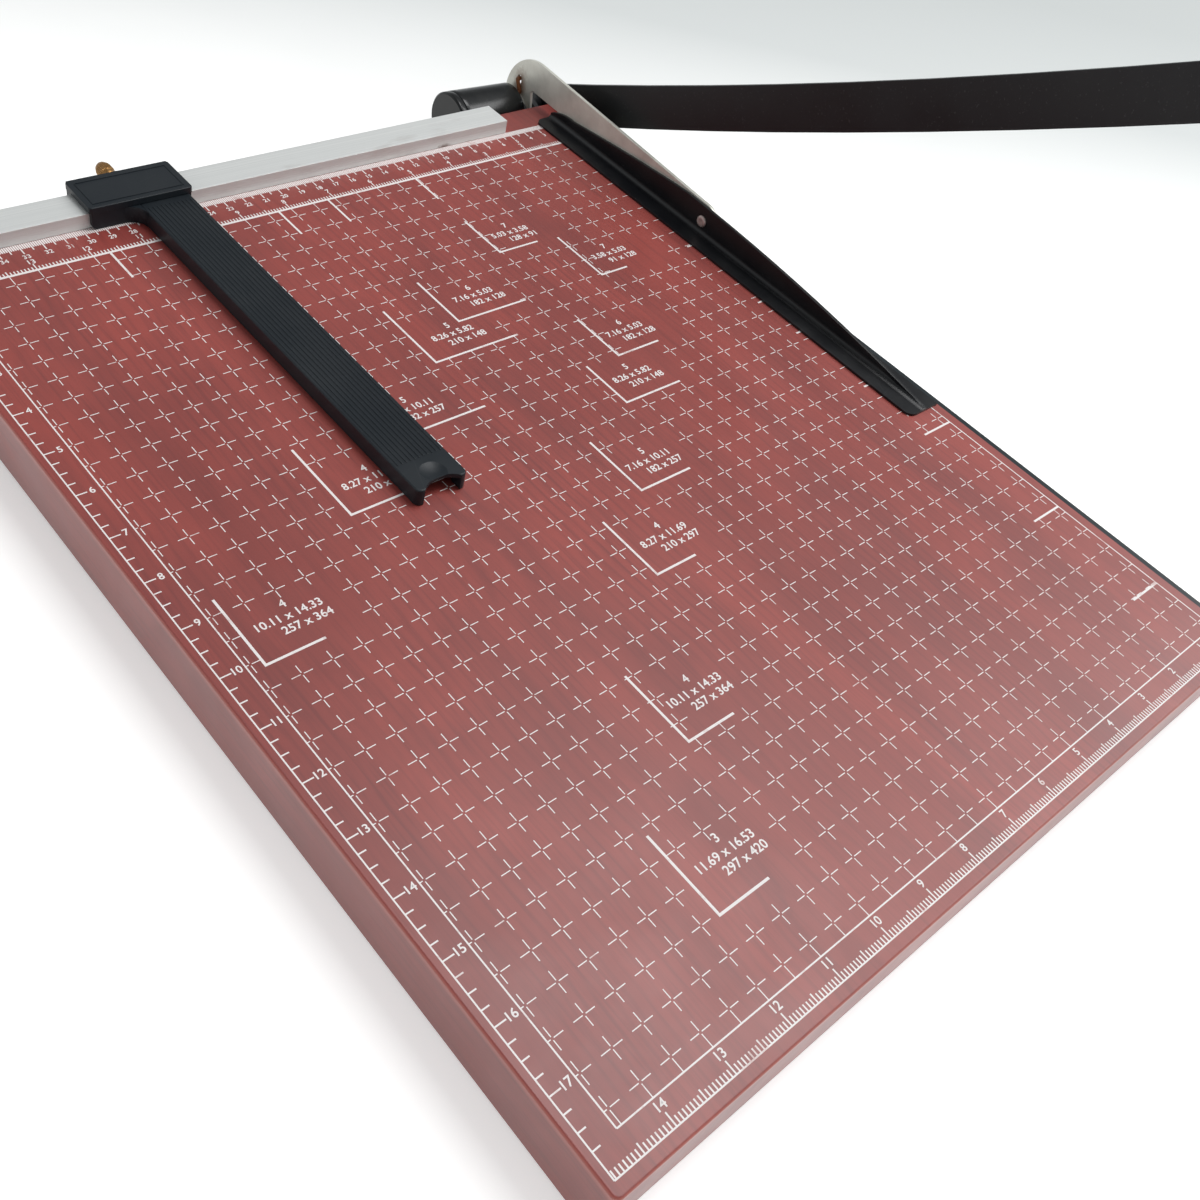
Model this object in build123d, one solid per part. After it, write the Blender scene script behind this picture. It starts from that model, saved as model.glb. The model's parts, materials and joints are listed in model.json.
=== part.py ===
from build123d import *
from math import acos, atan2, cos, degrees, hypot, pi, radians, sin
import os

# A hand lever paper trimmer with a wooden bed. A curved blade arm shears past a steel strip on the
# bed's right edge. A sprung guard bar holds the sheet beside the cut, and a paper stop slides on an
# aluminium rail along the rear edge.
#
# Millimetres. X = 0 is the cutting plane (+X to the right), Y = 0 is the ruler's zero line in front
# of the fence (+Y to the rear), Z = 0 is the bed's surface. All joints are drawn at rest: the arm is
# half raised and the guard lies on the bed.

# Bed
board_width = 380.7
board_length = 485.3
board_thickness = 31.0
board_behind_rail = 1.1
board_corner_radius = 3.0
board_edge_radius = 1.0

# Lower blade: the steel strip on the board's right edge
strip_thickness = 3.0
strip_depth = 25.0
strip_screw_count = 6
strip_screw_end_distance = 30.0

# Screws, all round
screw_fit = 0.05
flat_screw_head_radius = 3.8
flat_screw_radius = 2.0
flat_screw_length = 22.0
flat_screw_recess = 0.1
pan_screw_head_radius = 2.8
pan_screw_head_height = 1.7
pan_screw_radius = 1.6
foot_screw_length = 16.0

# Rubber feet
foot_radius = 9.0
foot_draft = 1.0
foot_height = 3.0
foot_inset = 26.0
foot_recess_radius = 4.0
foot_recess_depth = 1.9

# Guide rail: the fence, and the track of the paper stop
rail_front = 1.6
rail_height = 7.5
rail_right = -50.8
rail_depth = 17.1
rail_top_thickness = 1.8
rail_leg_thickness = 1.8
rail_lip_bottom = 3.2
rail_foot_depth = 9.6
rail_foot_thickness = 2.2
rail_root_radius = 0.6
rail_screw_count = 5
rail_screw_end_distance = 22.0
rail_screw_from_front = 5.7
rail_counterbore_radius = 3.4
rail_counterbore_depth = 6.0

# Pivot: one bolt along X carries the arm, the lift lever, the spring and its cover
pivot_z = -9.5
bolt_radius = 4.0
bolt_fit = 0.05
bolt_head_across_flats = 13.0
bolt_head_height = 5.3
bolt_point_chamfer = 0.5
bolt_end_play = 0.1

# Hinge bracket: a plate let in flush with the board's rear face, with two ears
plate_left = -47.0
plate_top = -3.0
plate_bottom = -28.0
plate_thickness = 3.0
plate_fit = 0.2
plate_corner_radius = 4.0
ear_thickness = 3.0
ear_coil_gap = 0.5
ear_root_margin = 3.0
ear_gap = 6.0
ear_weld = 1.5
plate_screw_inset = 6.0
plate_screw_pitch_x = 15.0

# Blade arm
arm_gap = 0.2
arm_thickness = 3.5
arm_width = 22.5
arm_root_radius = 13.0
arm_curve_radius = 4700.0
arm_rest_angle = 25.6
arm_overrun = 10.0
edge_bevel_height = 4.0
edge_land = 0.6
edge_heel = 45.0
blade_end_radius = 2.0
tang_width = 13.0
tang_length = 62.0
tang_fit = 0.15
arm_bush_wall = 2.0
washer_radius = 9.0
washer_thickness = 1.5

# Handle grip
grip_length = 128.0
grip_collar_radius = 12.0
grip_waist_end = 48.0
grip_waist_pull = 10.0
grip_heel_at = 116.0
grip_heel_radius = 11.5
grip_heel_fall = 0.18

# Lift lever
lever_thickness = 2.0
lever_right_of_zero = -10.8
lever_reach = 157.7
lever_tip_z = 9.35
lever_tip_radius = 7.85
lever_top_before_pivot = 14.5
lever_top_rear_z = 24.1
lever_eye_radius = 12.1
lever_notch_before_pivot = 9.5
lever_notch_z = 6.3
lever_notch_radius = 2.0
lever_bush_wall = 2.4
lever_fit = 0.08
lever_slot_width = 3.2
lever_slot_length = 5.3
lever_slot_end_gap = 0.7
lever_slot_angle = 4.5

# Torsion spring and its cover
wire_radius = 1.2
coil_radius = 11.0
coil_turns = 6
coil_steps = 8
coil_pitch = 4.3
coil_gap = 0.2
coil_ear_gap = 0.4
coil_leaves_at = 20.0
leg_run = 1.6
leg_reach_radius = 17.4
tail_slot_margin = 8.5
sleeve_wall = 2.4
sleeve_left_margin = 7.5
seat_thickness = 2.5
cover_wall = 1.5
cover_coil_gap = 0.9
cover_draft = 1.6
cover_board_gap = 0.5
cover_ear_gap = 0.3
cover_fit = 0.1
cap_length = 4.5
cap_edge = 1.0
cap_seam = 0.4
cap_bolt_gap = 0.4
bolt_beyond_nut = 0.4
nut_across_flats = 13.0
nut_height = 6.5

# Guard bar: an inverted T, its web as high as the curve of its crest
guard_rear = 5.3
guard_length = 290.3
guard_left_flange = 12.0
guard_right_flange = 8.6
guard_thickness = 1.2
guard_rest_gap = 0.1
guard_rear_height = 3.7
guard_shoulder_y = -13.5
guard_shoulder_height = 7.6
guard_back_y = -55.6
guard_back_height = 12.4
guard_crest_y = -107.0
guard_crest_height = 16.7
guard_nose_y = -203.0
guard_nose_height = 11.7
guard_front_height = 1.4
guard_root_radius = 3.2
guard_hem_height = 1.8
guard_hem_thickness = 0.6
guard_corner_radius = 5.0
guard_lift = 12.0
rivet_radius = 2.0
rivet_head_radius = 3.2
rivet_head_height = 1.3
rivet_fit = 0.03
rivet_z = 7.9

# Paper stop
stop_x = -271.2
stop_head_length = 51.1
stop_head_front = -0.8
stop_rear_wall = 4.0
stop_head_top = 11.6
stop_rail_gap = 0.3
stop_bed_gap = 0.3
stop_head_corner = 2.5
stop_hook_thickness = 2.2
stop_hook_reach = 6.0
stop_plate_overhang = 0.8
stop_plate_lip = 0.4
stop_plate_thickness = 3.0
stop_plate_corner = 1.6
stop_plate_round = 0.4
stop_arm_right_inset = 1.7
stop_arm_width = 25.0
stop_arm_length = 218.2
stop_arm_height = 8.2
stop_arm_wall = 2.0
stop_arm_round = 0.8
stop_toe_wall = 3.4
stop_toe_radius = 2.7
stop_toe_length = 6.0
stop_flare_radius = 8.0
stop_arch_depth = 4.0
stop_thumb_radius = 14.0
stop_thumb_depth = 1.3

# Clamp screw of the paper stop
clamp_z = 4.6
clamp_boss_radius = 5.5
clamp_boss_length = 2.5
clamp_insert_radius = 3.2
clamp_insert_length = 4.0
clamp_screw_radius = 2.0
clamp_thread_fit = 0.05
clamp_pad_radius = 2.6
clamp_pad_thickness = 1.6
clamp_pad_floor = 0.55
clamp_pad_gap = 0.1
clamp_travel = 0.7
clamp_tip_radius = 1.4
clamp_knob_radius = 4.4
clamp_neck_radius = 2.9
clamp_neck_length = 5.2
clamp_knob_gap = 0.6

# Places that follow from the sizes above
board_right = -strip_thickness
board_left = board_right - board_width
rail_rear = rail_front + rail_depth
board_rear = rail_rear + board_behind_rail
board_front = board_rear - board_length
plate_front = board_rear - plate_thickness
rail_screw_length = board_thickness - rail_counterbore_depth + rail_foot_thickness

cover_right_radius = coil_radius + wire_radius + cover_coil_gap + cover_wall
cover_left_radius = cover_right_radius + cover_draft
pivot_y = board_rear + cover_board_gap + cover_left_radius

arm_left = arm_gap
arm_right = arm_left + arm_thickness
blade_length = pivot_y - board_front + arm_overrun

coil_inside = coil_radius - wire_radius
ear_end_radius = coil_inside - ear_coil_gap
lever_washer_radius = ear_end_radius - lever_fit
lever_slot_outer = leg_reach_radius + wire_radius + lever_slot_end_gap
lever_slot_inner = lever_slot_outer - lever_slot_length
lever_tip_y = pivot_y - lever_reach
lever_top_rear_y = pivot_y - lever_top_before_pivot
lever_notch_y = pivot_y - lever_notch_before_pivot
lever_heel_radius = lever_top_before_pivot + lever_eye_radius
lever_right = lever_right_of_zero
lever_left = lever_right - lever_thickness
ears_inner_left = (lever_left + lever_right) / 2 - ear_gap / 2
ears_inner_right = ears_inner_left + ear_gap
left_ear_outer = ears_inner_left - ear_thickness
right_ear_outer = ears_inner_right + ear_thickness

coil_right = left_ear_outer - coil_ear_gap - wire_radius
coil_left = coil_right - coil_turns * coil_pitch
sleeve_left = coil_left - sleeve_left_margin
seat_left = sleeve_left - seat_thickness
nut_left = seat_left - nut_height
bolt_left = nut_left - bolt_beyond_nut
bolt_head_left = arm_right + 2 * bolt_end_play + washer_thickness
cover_right = left_ear_outer - cover_ear_gap
cap_left = bolt_left - cap_bolt_gap - cover_wall
cap_right = cap_left + cap_length

web_right = lever_left
web_left = web_right - guard_thickness
guard_left = web_left - guard_left_flange
guard_right = web_right + guard_right_flange
guard_front = guard_rear - guard_length

stop_head_rear = rail_rear + stop_rail_gap + stop_rear_wall
stop_head_left = stop_x - stop_head_length / 2
stop_head_right = stop_x + stop_head_length / 2
stop_arm_right = stop_head_right - stop_arm_right_inset
stop_arm_left = stop_arm_right - stop_arm_width
stop_arm_front = stop_head_front - stop_arm_length
clamp_pad_front = rail_rear + clamp_pad_gap
clamp_pad_rear = clamp_pad_front + clamp_pad_thickness
clamp_boss_rear = stop_head_rear + clamp_boss_length
clamp_insert_front = clamp_boss_rear - clamp_insert_length
knob_front = clamp_boss_rear + clamp_knob_gap
knob_centre = knob_front + clamp_neck_length + clamp_knob_radius

PIVOT_AXIS = Axis((0, pivot_y, pivot_z), (1, 0, 0))
TO_X = Rot(0, 90, 0)
TO_Y = Rot(-90, 0, 0)
FROM_ZERO = (Align.CENTER, Align.CENTER, Align.MIN)


def block(x0, x1, y0, y1, z0, z1):
    """A block between two opposite corners."""
    corner = (Align.MIN, Align.MIN, Align.MIN)
    return Pos(x0, y0, z0) * Box(x1 - x0, y1 - y0, z1 - z0, align=corner)


def rod_x(radius, x0, x1, y=pivot_y, z=pivot_z):
    """A round rod along X, on the pivot unless another place is given."""
    return Pos(x0, y, z) * TO_X * Cylinder(radius, x1 - x0, align=FROM_ZERO)


def rod_y(radius, y0, y1, x, z):
    """A round rod along Y."""
    return Pos(x, y0, z) * TO_Y * Cylinder(radius, y1 - y0, align=FROM_ZERO)


def tube_x(outer, inner, x0, x1):
    """A tube along X round the pivot."""
    return rod_x(outer, x0, x1) - rod_x(inner, x0, x1)


def slab_x(sketch, x0, x1):
    """A side view, drawn in Y and Z, made solid from x0 to x1."""
    return extrude(Plane.YZ.offset(x0) * sketch, amount=x1 - x0)


def spread(first, last, count):
    """Evenly spaced places from first to last, both included."""
    return [first + (last - first) * i / (count - 1) for i in range(count)]


def turned(*profile):
    """A turned piece about Z from (radius, height) points that start and end on the axis."""
    outline = Polyline(*[(r, 0, h) for r, h in profile], close=True)
    return revolve(make_face(outline), Axis.Z)


def flat_head_screw():
    """A countersunk screw, face of the head at Z = 0, shank downwards."""
    cone = flat_screw_head_radius - flat_screw_radius
    return turned((0, 0), (flat_screw_head_radius, 0), (flat_screw_radius, -cone),
                  (flat_screw_radius, -flat_screw_length), (0, -flat_screw_length))


def flat_head_hole():
    """The hole that the countersunk screw fills, a little wider all round."""
    head = flat_screw_head_radius + screw_fit + flat_screw_recess
    shank = flat_screw_radius + screw_fit
    mouth = flat_screw_recess
    bottom = -flat_screw_length - screw_fit
    return turned((0, mouth), (head, mouth), (shank, mouth + shank - head), (shank, bottom), (0, bottom))


def pan_head_screw(length):
    """A pan-head screw: its seat is at Z = 0, the head above and the shank below."""
    return turned((0, pan_screw_head_height), (pan_screw_head_radius, pan_screw_head_height),
                  (pan_screw_head_radius, 0), (pan_screw_radius, 0), (pan_screw_radius, -length),
                  (0, -length))


def pan_head_hole(length):
    """The hole of the pan-head screw, through its seat and down past its end."""
    return Cylinder(pan_screw_radius + screw_fit, 2 * (length + screw_fit))


def strip_screw_places():
    """The countersunk screws along the lower blade, heads to the right."""
    first = board_rear - strip_screw_end_distance
    last = board_front + strip_screw_end_distance
    return [Pos(-flat_screw_recess, y, -strip_depth / 2) * TO_X
            for y in spread(first, last, strip_screw_count)]


def rail_screw_places():
    """The screws that hold the rail from below, heads deep in the board's underside."""
    seat = rail_counterbore_depth - board_thickness
    first = board_left + rail_screw_end_distance
    last = rail_right - rail_screw_end_distance
    return [Pos(x, rail_front + rail_screw_from_front, seat) * Rot(180, 0, 0)
            for x in spread(first, last, rail_screw_count)]


def plate_screw_places():
    """Four countersunk screws in the hinge bracket's plate, left of the ears, heads to the rear."""
    columns = [plate_left + plate_screw_inset, plate_left + plate_screw_inset + plate_screw_pitch_x]
    rows = [plate_top - plate_screw_inset, plate_bottom + plate_screw_inset]
    return [Pos(x, board_rear - flat_screw_recess, z) * TO_Y for x in columns for z in rows]


def foot_places():
    """Under the four corners of the board, heads of the screws downwards."""
    columns = [board_left + foot_inset, board_right - foot_inset]
    rows = [board_front + foot_inset, board_rear - foot_inset]
    return [Pos(x, y, -board_thickness) * Rot(180, 0, 0) for x in columns for y in rows]


def bracket_plate(gap=0.0):
    """The hinge bracket's plate or, with a gap, the recess in the board that takes it."""
    plate = block(plate_left - gap, board_right, plate_front, board_rear,
                  plate_bottom - gap, plate_top + gap)
    return fillet(plate.edges().filter_by(Axis.Y).group_by(Axis.X)[0], plate_corner_radius + gap)


def base_board():
    """The wooden bed: rounded on its free edges, square where the lower blade lies against it."""
    board = block(board_left, board_right, board_front, board_rear, -board_thickness, 0)
    board = fillet(board.edges().filter_by(Axis.Z).group_by(Axis.X)[0], board_corner_radius)
    rims = board.faces().sort_by(Axis.Z)[0].edges() + board.faces().sort_by(Axis.Z)[-1].edges()
    free = [e for e in rims if e.center().X < board_right - board_edge_radius]
    board = fillet(free, board_edge_radius) - bracket_plate(plate_fit)
    for place in strip_screw_places() + plate_screw_places():
        board -= place * flat_head_hole()
    for place in rail_screw_places():
        board -= place * pan_head_hole(rail_screw_length)
        board -= place * Cylinder(rail_counterbore_radius, rail_counterbore_depth, align=FROM_ZERO)
    for place in foot_places():
        board -= place * foot_screw_seat() * pan_head_hole(foot_screw_length)
    return board


def lower_blade():
    """The steel strip whose upper right edge is the fixed cutting edge."""
    strip = block(board_right, 0, board_front, board_rear, -strip_depth, 0)
    for place in strip_screw_places():
        strip -= place * flat_head_hole()
    return strip


def lower_blade_screws():
    return [place * flat_head_screw() for place in strip_screw_places()]


def foot_screw_seat():
    """How far below the board the foot's screw head sits."""
    return Pos(0, 0, foot_height - foot_recess_depth)


def rubber_feet():
    """Tapered rubber buttons, each with a recess that hides its screw head."""
    button = Cone(foot_radius, foot_radius - foot_draft, foot_height, align=FROM_ZERO)
    button -= foot_screw_seat() * Cylinder(foot_recess_radius, foot_height, align=FROM_ZERO)
    button -= Cylinder(pan_screw_radius + screw_fit, foot_height)
    return [place * button for place in foot_places()]


def foot_screws():
    return [place * foot_screw_seat() * pan_head_screw(foot_screw_length) for place in foot_places()]


def rail_section():
    """The extrusion's section in Y and Z: top, fence leg on its foot, and the lip of the track."""
    under = rail_height - rail_top_thickness
    leg = rail_leg_thickness
    foot = rail_foot_thickness
    outline = Polyline(
        (rail_front, 0), (rail_front, rail_height), (rail_rear, rail_height),
        (rail_rear, rail_lip_bottom), (rail_rear - leg, rail_lip_bottom), (rail_rear - leg, under),
        (rail_front + leg, under), (rail_front + leg, foot), (rail_front + rail_foot_depth, foot),
        (rail_front + rail_foot_depth, 0), close=True)
    section = make_face(outline)
    corners = ((rail_rear - leg, under), (rail_front + leg, under), (rail_front + leg, foot))
    roots = [section.vertices().sort_by_distance((*corner, 0))[0] for corner in corners]
    return fillet(roots, rail_root_radius)


def guide_rail():
    """The aluminium rail: fence in front, track of the paper stop behind."""
    rail = slab_x(rail_section(), board_left, rail_right)
    for place in rail_screw_places():
        rail -= place * pan_head_hole(rail_screw_length)
    return rail


def rail_screws():
    return [place * pan_head_screw(rail_screw_length) for place in rail_screw_places()]


def hinge_bracket():
    """A plate let into the board's rear face, with two welded ears that carry the pivot bolt."""
    plate = bracket_plate()
    root = Line((board_rear, plate_bottom + ear_root_margin), (board_rear, plate_top - ear_root_margin))
    ear = make_hull([root] + (Pos(pivot_y, pivot_z) * Circle(ear_end_radius)).edges())
    for left in (left_ear_outer, ears_inner_right):
        plate += slab_x(ear, left, left + ear_thickness)
    ear_faces = (left_ear_outer, ears_inner_left, ears_inner_right, right_ear_outer)
    roots = [e for e in plate.edges().filter_by(Axis.Z)
             if any(abs(e.center().X - x) < bolt_fit for x in ear_faces)]
    bracket = fillet(roots, ear_weld) - rod_x(bolt_radius + bolt_fit, plate_left, board_right)
    for place in plate_screw_places():
        bracket -= place * flat_head_hole()
    return bracket


def bracket_screws():
    return [place * flat_head_screw() for place in plate_screw_places()]


def hexagon(across_flats, x0, x1):
    """A hexagon nut or bolt head on the pivot, its corners turned off at the outer end x1."""
    flats = Pos(pivot_y, pivot_z) * RegularPolygon(across_flats / 2, 6, major_radius=False)
    prism = slab_x(flats, min(x0, x1), max(x0, x1))
    corner = across_flats / 3 ** 0.5
    turned_off = rod_x(corner, min(x0, x1), max(x0, x1))
    outer = turned_off.edges().sort_by(Axis.X)[-1 if x1 > x0 else 0]
    return prism & chamfer(outer, corner - across_flats / 2)


def pivot_bolt():
    """The hexagon bolt along X: head outside the arm, thread inside the spring cover."""
    head = hexagon(bolt_head_across_flats, bolt_head_left, bolt_head_left + bolt_head_height)
    shank = rod_x(bolt_radius, bolt_left, bolt_head_left)
    return head + chamfer(shank.edges().sort_by(Axis.X)[0], bolt_point_chamfer)


def pivot_nut():
    nut = hexagon(nut_across_flats, seat_left, nut_left)
    return nut - rod_x(bolt_radius + bolt_fit, nut_left, seat_left)


def outer_washer():
    """The thrust washer between the arm and the bolt's head."""
    left = arm_right + bolt_end_play
    return tube_x(washer_radius, bolt_radius + bolt_fit, left, left + washer_thickness)


def arm_spacer():
    """The turned collar that holds the arm just clear of the lower blade."""
    return tube_x(washer_radius, bolt_radius + bolt_fit, right_ear_outer, arm_left - bolt_end_play)


def lever_bush():
    """The distance bush between the ears, on which the lift lever turns."""
    outer = bolt_radius + bolt_fit + lever_bush_wall
    return tube_x(outer, bolt_radius + bolt_fit, ears_inner_left, ears_inner_right)


def lever_washers():
    """Two nylon washers that keep the lift lever off the ears."""
    bore = bolt_radius + bolt_fit + lever_bush_wall + lever_fit
    left = tube_x(lever_washer_radius, bore, ears_inner_left, lever_left - lever_fit)
    right = tube_x(lever_washer_radius, bore, lever_right + lever_fit, ears_inner_right)
    return [left, right]


def spring_sleeve():
    """The distance tube inside the spring, from the left ear to the spring's seat."""
    outer = bolt_radius + bolt_fit + sleeve_wall
    return tube_x(outer, bolt_radius + bolt_fit, sleeve_left, left_ear_outer)


def cover_radius(x):
    """The outer radius of the spring cover, which widens a little to the left."""
    share = (cover_right - x) / (cover_right - cap_right)
    return cover_right_radius + (cover_left_radius - cover_right_radius) * share


def spring_seat():
    """The disc that carries the cover; its curved slot takes the spring's tail."""
    disc = tube_x(cover_radius(sleeve_left) - cover_wall - cover_fit, bolt_radius + bolt_fit,
                  seat_left, sleeve_left)
    y, z = tail_point()
    reach = hypot(y - pivot_y, z - pivot_z)
    half = wire_radius + coil_gap
    window = Plane.XY.offset(pivot_z) * Pos((seat_left + sleeve_left) / 2, pivot_y - reach)
    cut = revolve(window * Rectangle(2 * seat_thickness, 2 * half),
                  Axis((0, pivot_y, pivot_z), (-1, 0, 0)), guard_lift + 2 * tail_slot_margin)
    start = coil_leaves_at + degrees(atan2(leg_run, coil_radius))
    return disc - cut.rotate(PIVOT_AXIS, start - 90 + tail_slot_margin)


def spring_cover():
    """The thin tube round the spring, drawn with a slight taper and open towards the ears."""
    outer = revolve_x((cap_right, cover_left_radius), (cover_right, cover_right_radius))
    inner = revolve_x((cap_right, cover_left_radius - cover_wall),
                      (cover_right, cover_right_radius - cover_wall))
    return outer - inner


def spring_cover_cap():
    """The closed end: a rounded disc with a skirt that plugs into the cover."""
    rim = cap_right - cap_seam
    disc = rod_x(cover_left_radius, cap_left, rim)
    disc = chamfer(disc.edges().sort_by(Axis.X)[0], cap_edge)
    skirt = rod_x(cover_radius(rim + cap_length) - cover_wall - cover_fit, rim, cap_right + cap_length / 2)
    hollow = rod_x(cover_left_radius - 2 * cover_wall - cover_fit, cap_left + cover_wall,
                   cap_right + cap_length / 2)
    return disc + skirt - hollow


def revolve_x(left, right):
    """A turned solid round the pivot, from (x, radius) at its left end to that at its right."""
    outline = Polyline((left[0], 0), left, right, (right[0], 0), close=True)
    flat = Pos(0, pivot_y, pivot_z) * make_face(outline)
    return revolve(flat, PIVOT_AXIS)


def arm_point(along, offset=0.0):
    """A point of the lowered arm's curve in Y and Z: along it from the pivot, offset upwards."""
    turn = along / arm_curve_radius
    radius = arm_curve_radius - offset
    return pivot_y - radius * sin(turn), pivot_z + arm_curve_radius - radius * cos(turn)


def arm_band(start, end, half_width):
    """The side view of a stretch of the arm, centred on its curve."""
    middle = (start + end) / 2
    top = ThreePointArc(*[arm_point(s, half_width) for s in (start, middle, end)])
    nose = Line(arm_point(end, half_width), arm_point(end, -half_width))
    low = ThreePointArc(*[arm_point(s, -half_width) for s in (end, middle, start)])
    heel = Line(arm_point(start, -half_width), arm_point(start, half_width))
    return make_face([top, nose, low, heel])


def raised(shape):
    """Turn a piece of the lowered arm up to its rest position."""
    return shape.rotate(PIVOT_AXIS, -arm_rest_angle)


def edge_grind():
    """What grinding takes off the outer face above the cutting edge, along the blade's curve."""
    centre_z = pivot_z + arm_curve_radius
    low = pivot_z - arm_width / 2
    land = arm_left + edge_land
    beyond = arm_right + edge_land
    outline = Polyline((land, low), (arm_right, low + edge_bevel_height),
                       (beyond, low + edge_bevel_height), (beyond, low - edge_land),
                       (land, low - edge_land), close=True)
    section = Plane.XZ.offset(-pivot_y) * make_face(outline)
    axis = Axis((0, pivot_y, centre_z), (-1, 0, 0))
    wedge = revolve(section, axis, degrees((blade_length - edge_heel + arm_overrun) / arm_curve_radius))
    return wedge.rotate(Axis((0, pivot_y, centre_z), (1, 0, 0)), -degrees(edge_heel / arm_curve_radius))


def blade_arm():
    """The curved steel arm: round root, ground cutting edge and a tang for the grip."""
    blade = slab_x(arm_band(0, blade_length, arm_width / 2), arm_left, arm_right)
    blade = fillet(blade.edges().filter_by(Axis.X).sort_by(Axis.Y)[:2], blade_end_radius)
    blade += rod_x(arm_root_radius, arm_left, arm_right)
    blade -= edge_grind()
    blade += slab_x(arm_band(blade_length - arm_overrun, blade_length + tang_length, tang_width / 2),
                    arm_left, arm_right)
    blade -= rod_x(bolt_radius + bolt_fit + arm_bush_wall + screw_fit, arm_left, arm_right)
    return raised(blade)


def arm_bush():
    """The bronze bush pressed into the arm's root."""
    outer = bolt_radius + bolt_fit + arm_bush_wall
    return tube_x(outer, bolt_radius + bolt_fit, arm_left, arm_right)


def handle_grip():
    """The turned grip: a collar, a waist for the fingers, a swelling for the palm, a round end."""
    turn = (blade_length + tang_fit) / arm_curve_radius
    middle = (arm_left + arm_right) / 2
    along = (0, -cos(turn), sin(turn))
    lathe = Plane(origin=(middle, *arm_point(blade_length + tang_fit)), x_dir=along, z_dir=(1, 0, 0))
    reach = grip_waist_end / 3
    rise = (grip_collar_radius - grip_waist_pull) / reach
    waist = Bezier((0, grip_collar_radius), (reach, grip_waist_pull), (2 * reach, grip_waist_pull),
                   (grip_waist_end, grip_collar_radius))
    reach = (grip_heel_at - grip_waist_end) / 3
    palm = Bezier(waist @ 1, (grip_waist_end + reach, grip_collar_radius + reach * rise),
                  (grip_heel_at - reach, grip_heel_radius + reach * grip_heel_fall),
                  (grip_heel_at, grip_heel_radius))
    reach = (grip_length - grip_heel_at) / 2
    heel = Bezier(palm @ 1, (grip_heel_at + reach, grip_heel_radius - reach * grip_heel_fall),
                  (grip_length, grip_heel_radius / 2), (grip_length, 0))
    half = make_face([Line((0, 0), waist @ 0), waist, palm, heel, Line(heel @ 1, (0, 0))])
    grip = revolve(lathe * half, Axis(lathe.origin, lathe.x_dir))
    slot = arm_band(blade_length - arm_overrun, blade_length + tang_length + tang_fit,
                    tang_width / 2 + tang_fit)
    grip -= slab_x(slot, arm_left - tang_fit, arm_right + tang_fit)
    return raised(grip)


def lever_outline():
    """The lift lever's side view: a long tapered handle that hooks down behind the board."""
    eye = Pos(pivot_y, pivot_z) * Circle(lever_eye_radius)
    tip = Pos(lever_tip_y, lever_tip_z) * Circle(lever_tip_radius)
    tip_low = (lever_tip_y, lever_tip_z - lever_tip_radius)
    tip_top = (lever_tip_y, lever_tip_z + lever_tip_radius)
    notch = (lever_notch_y, lever_notch_z)
    out_y, out_z = lever_notch_y - pivot_y, lever_notch_z - pivot_z
    bearing = atan2(out_z, out_y) + acos(lever_eye_radius / hypot(out_y, out_z))
    meets_eye = (pivot_y + lever_eye_radius * cos(bearing), pivot_z + lever_eye_radius * sin(bearing))
    top_rear = (lever_top_rear_y, lever_top_rear_z)
    heel_z = lever_top_rear_z - lever_heel_radius
    heel_end = (lever_top_rear_y + lever_heel_radius, heel_z)
    half = lever_heel_radius * cos(pi / 4)
    heel = ThreePointArc(top_rear, (lever_top_rear_y + half, heel_z + half), heel_end)
    across = Line((pivot_y + lever_eye_radius, pivot_z), meets_eye)
    body = make_face([Line(tip_low, notch), Line(notch, meets_eye), across,
                      Line(heel_end, across @ 0), heel, Line(top_rear, tip_top),
                      Line(tip_top, tip_low)])
    body = fillet(body.vertices().sort_by_distance((*notch, 0))[0], lever_notch_radius)
    return body + tip + eye


def lift_lever():
    """The zinc-plated lever: eye on the bush, slot for the spring's leg, rivet hole near the tip."""
    lever = slab_x(lever_outline(), lever_left, lever_right)
    lever -= rod_x(bolt_radius + bolt_fit + lever_bush_wall + lever_fit, lever_left, lever_right)
    lever -= rod_x(rivet_radius + rivet_fit, lever_left, lever_right, lever_tip_y, rivet_z)
    angle = radians(lever_slot_angle)
    middle = (lever_slot_inner + lever_slot_outer) / 2
    slot = SlotOverall(lever_slot_length, lever_slot_width, rotation=90 - lever_slot_angle)
    slot = Pos(pivot_y + middle * sin(angle), pivot_z + middle * cos(angle)) * slot
    return lever - slab_x(slot, lever_left, lever_right)


def coil_start():
    """Where the wire leaves the coil, in Y and Z, and its direction there, towards the rear."""
    angle = radians(coil_leaves_at)
    start = (pivot_y - coil_radius * sin(angle), pivot_z + coil_radius * cos(angle))
    return start, (cos(angle), sin(angle))


def tail_point():
    """Where the left end of the wire turns along X into the seat, in Y and Z."""
    (y, z), (dy, dz) = coil_start()
    return y - leg_run * dy, z - leg_run * dz


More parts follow.
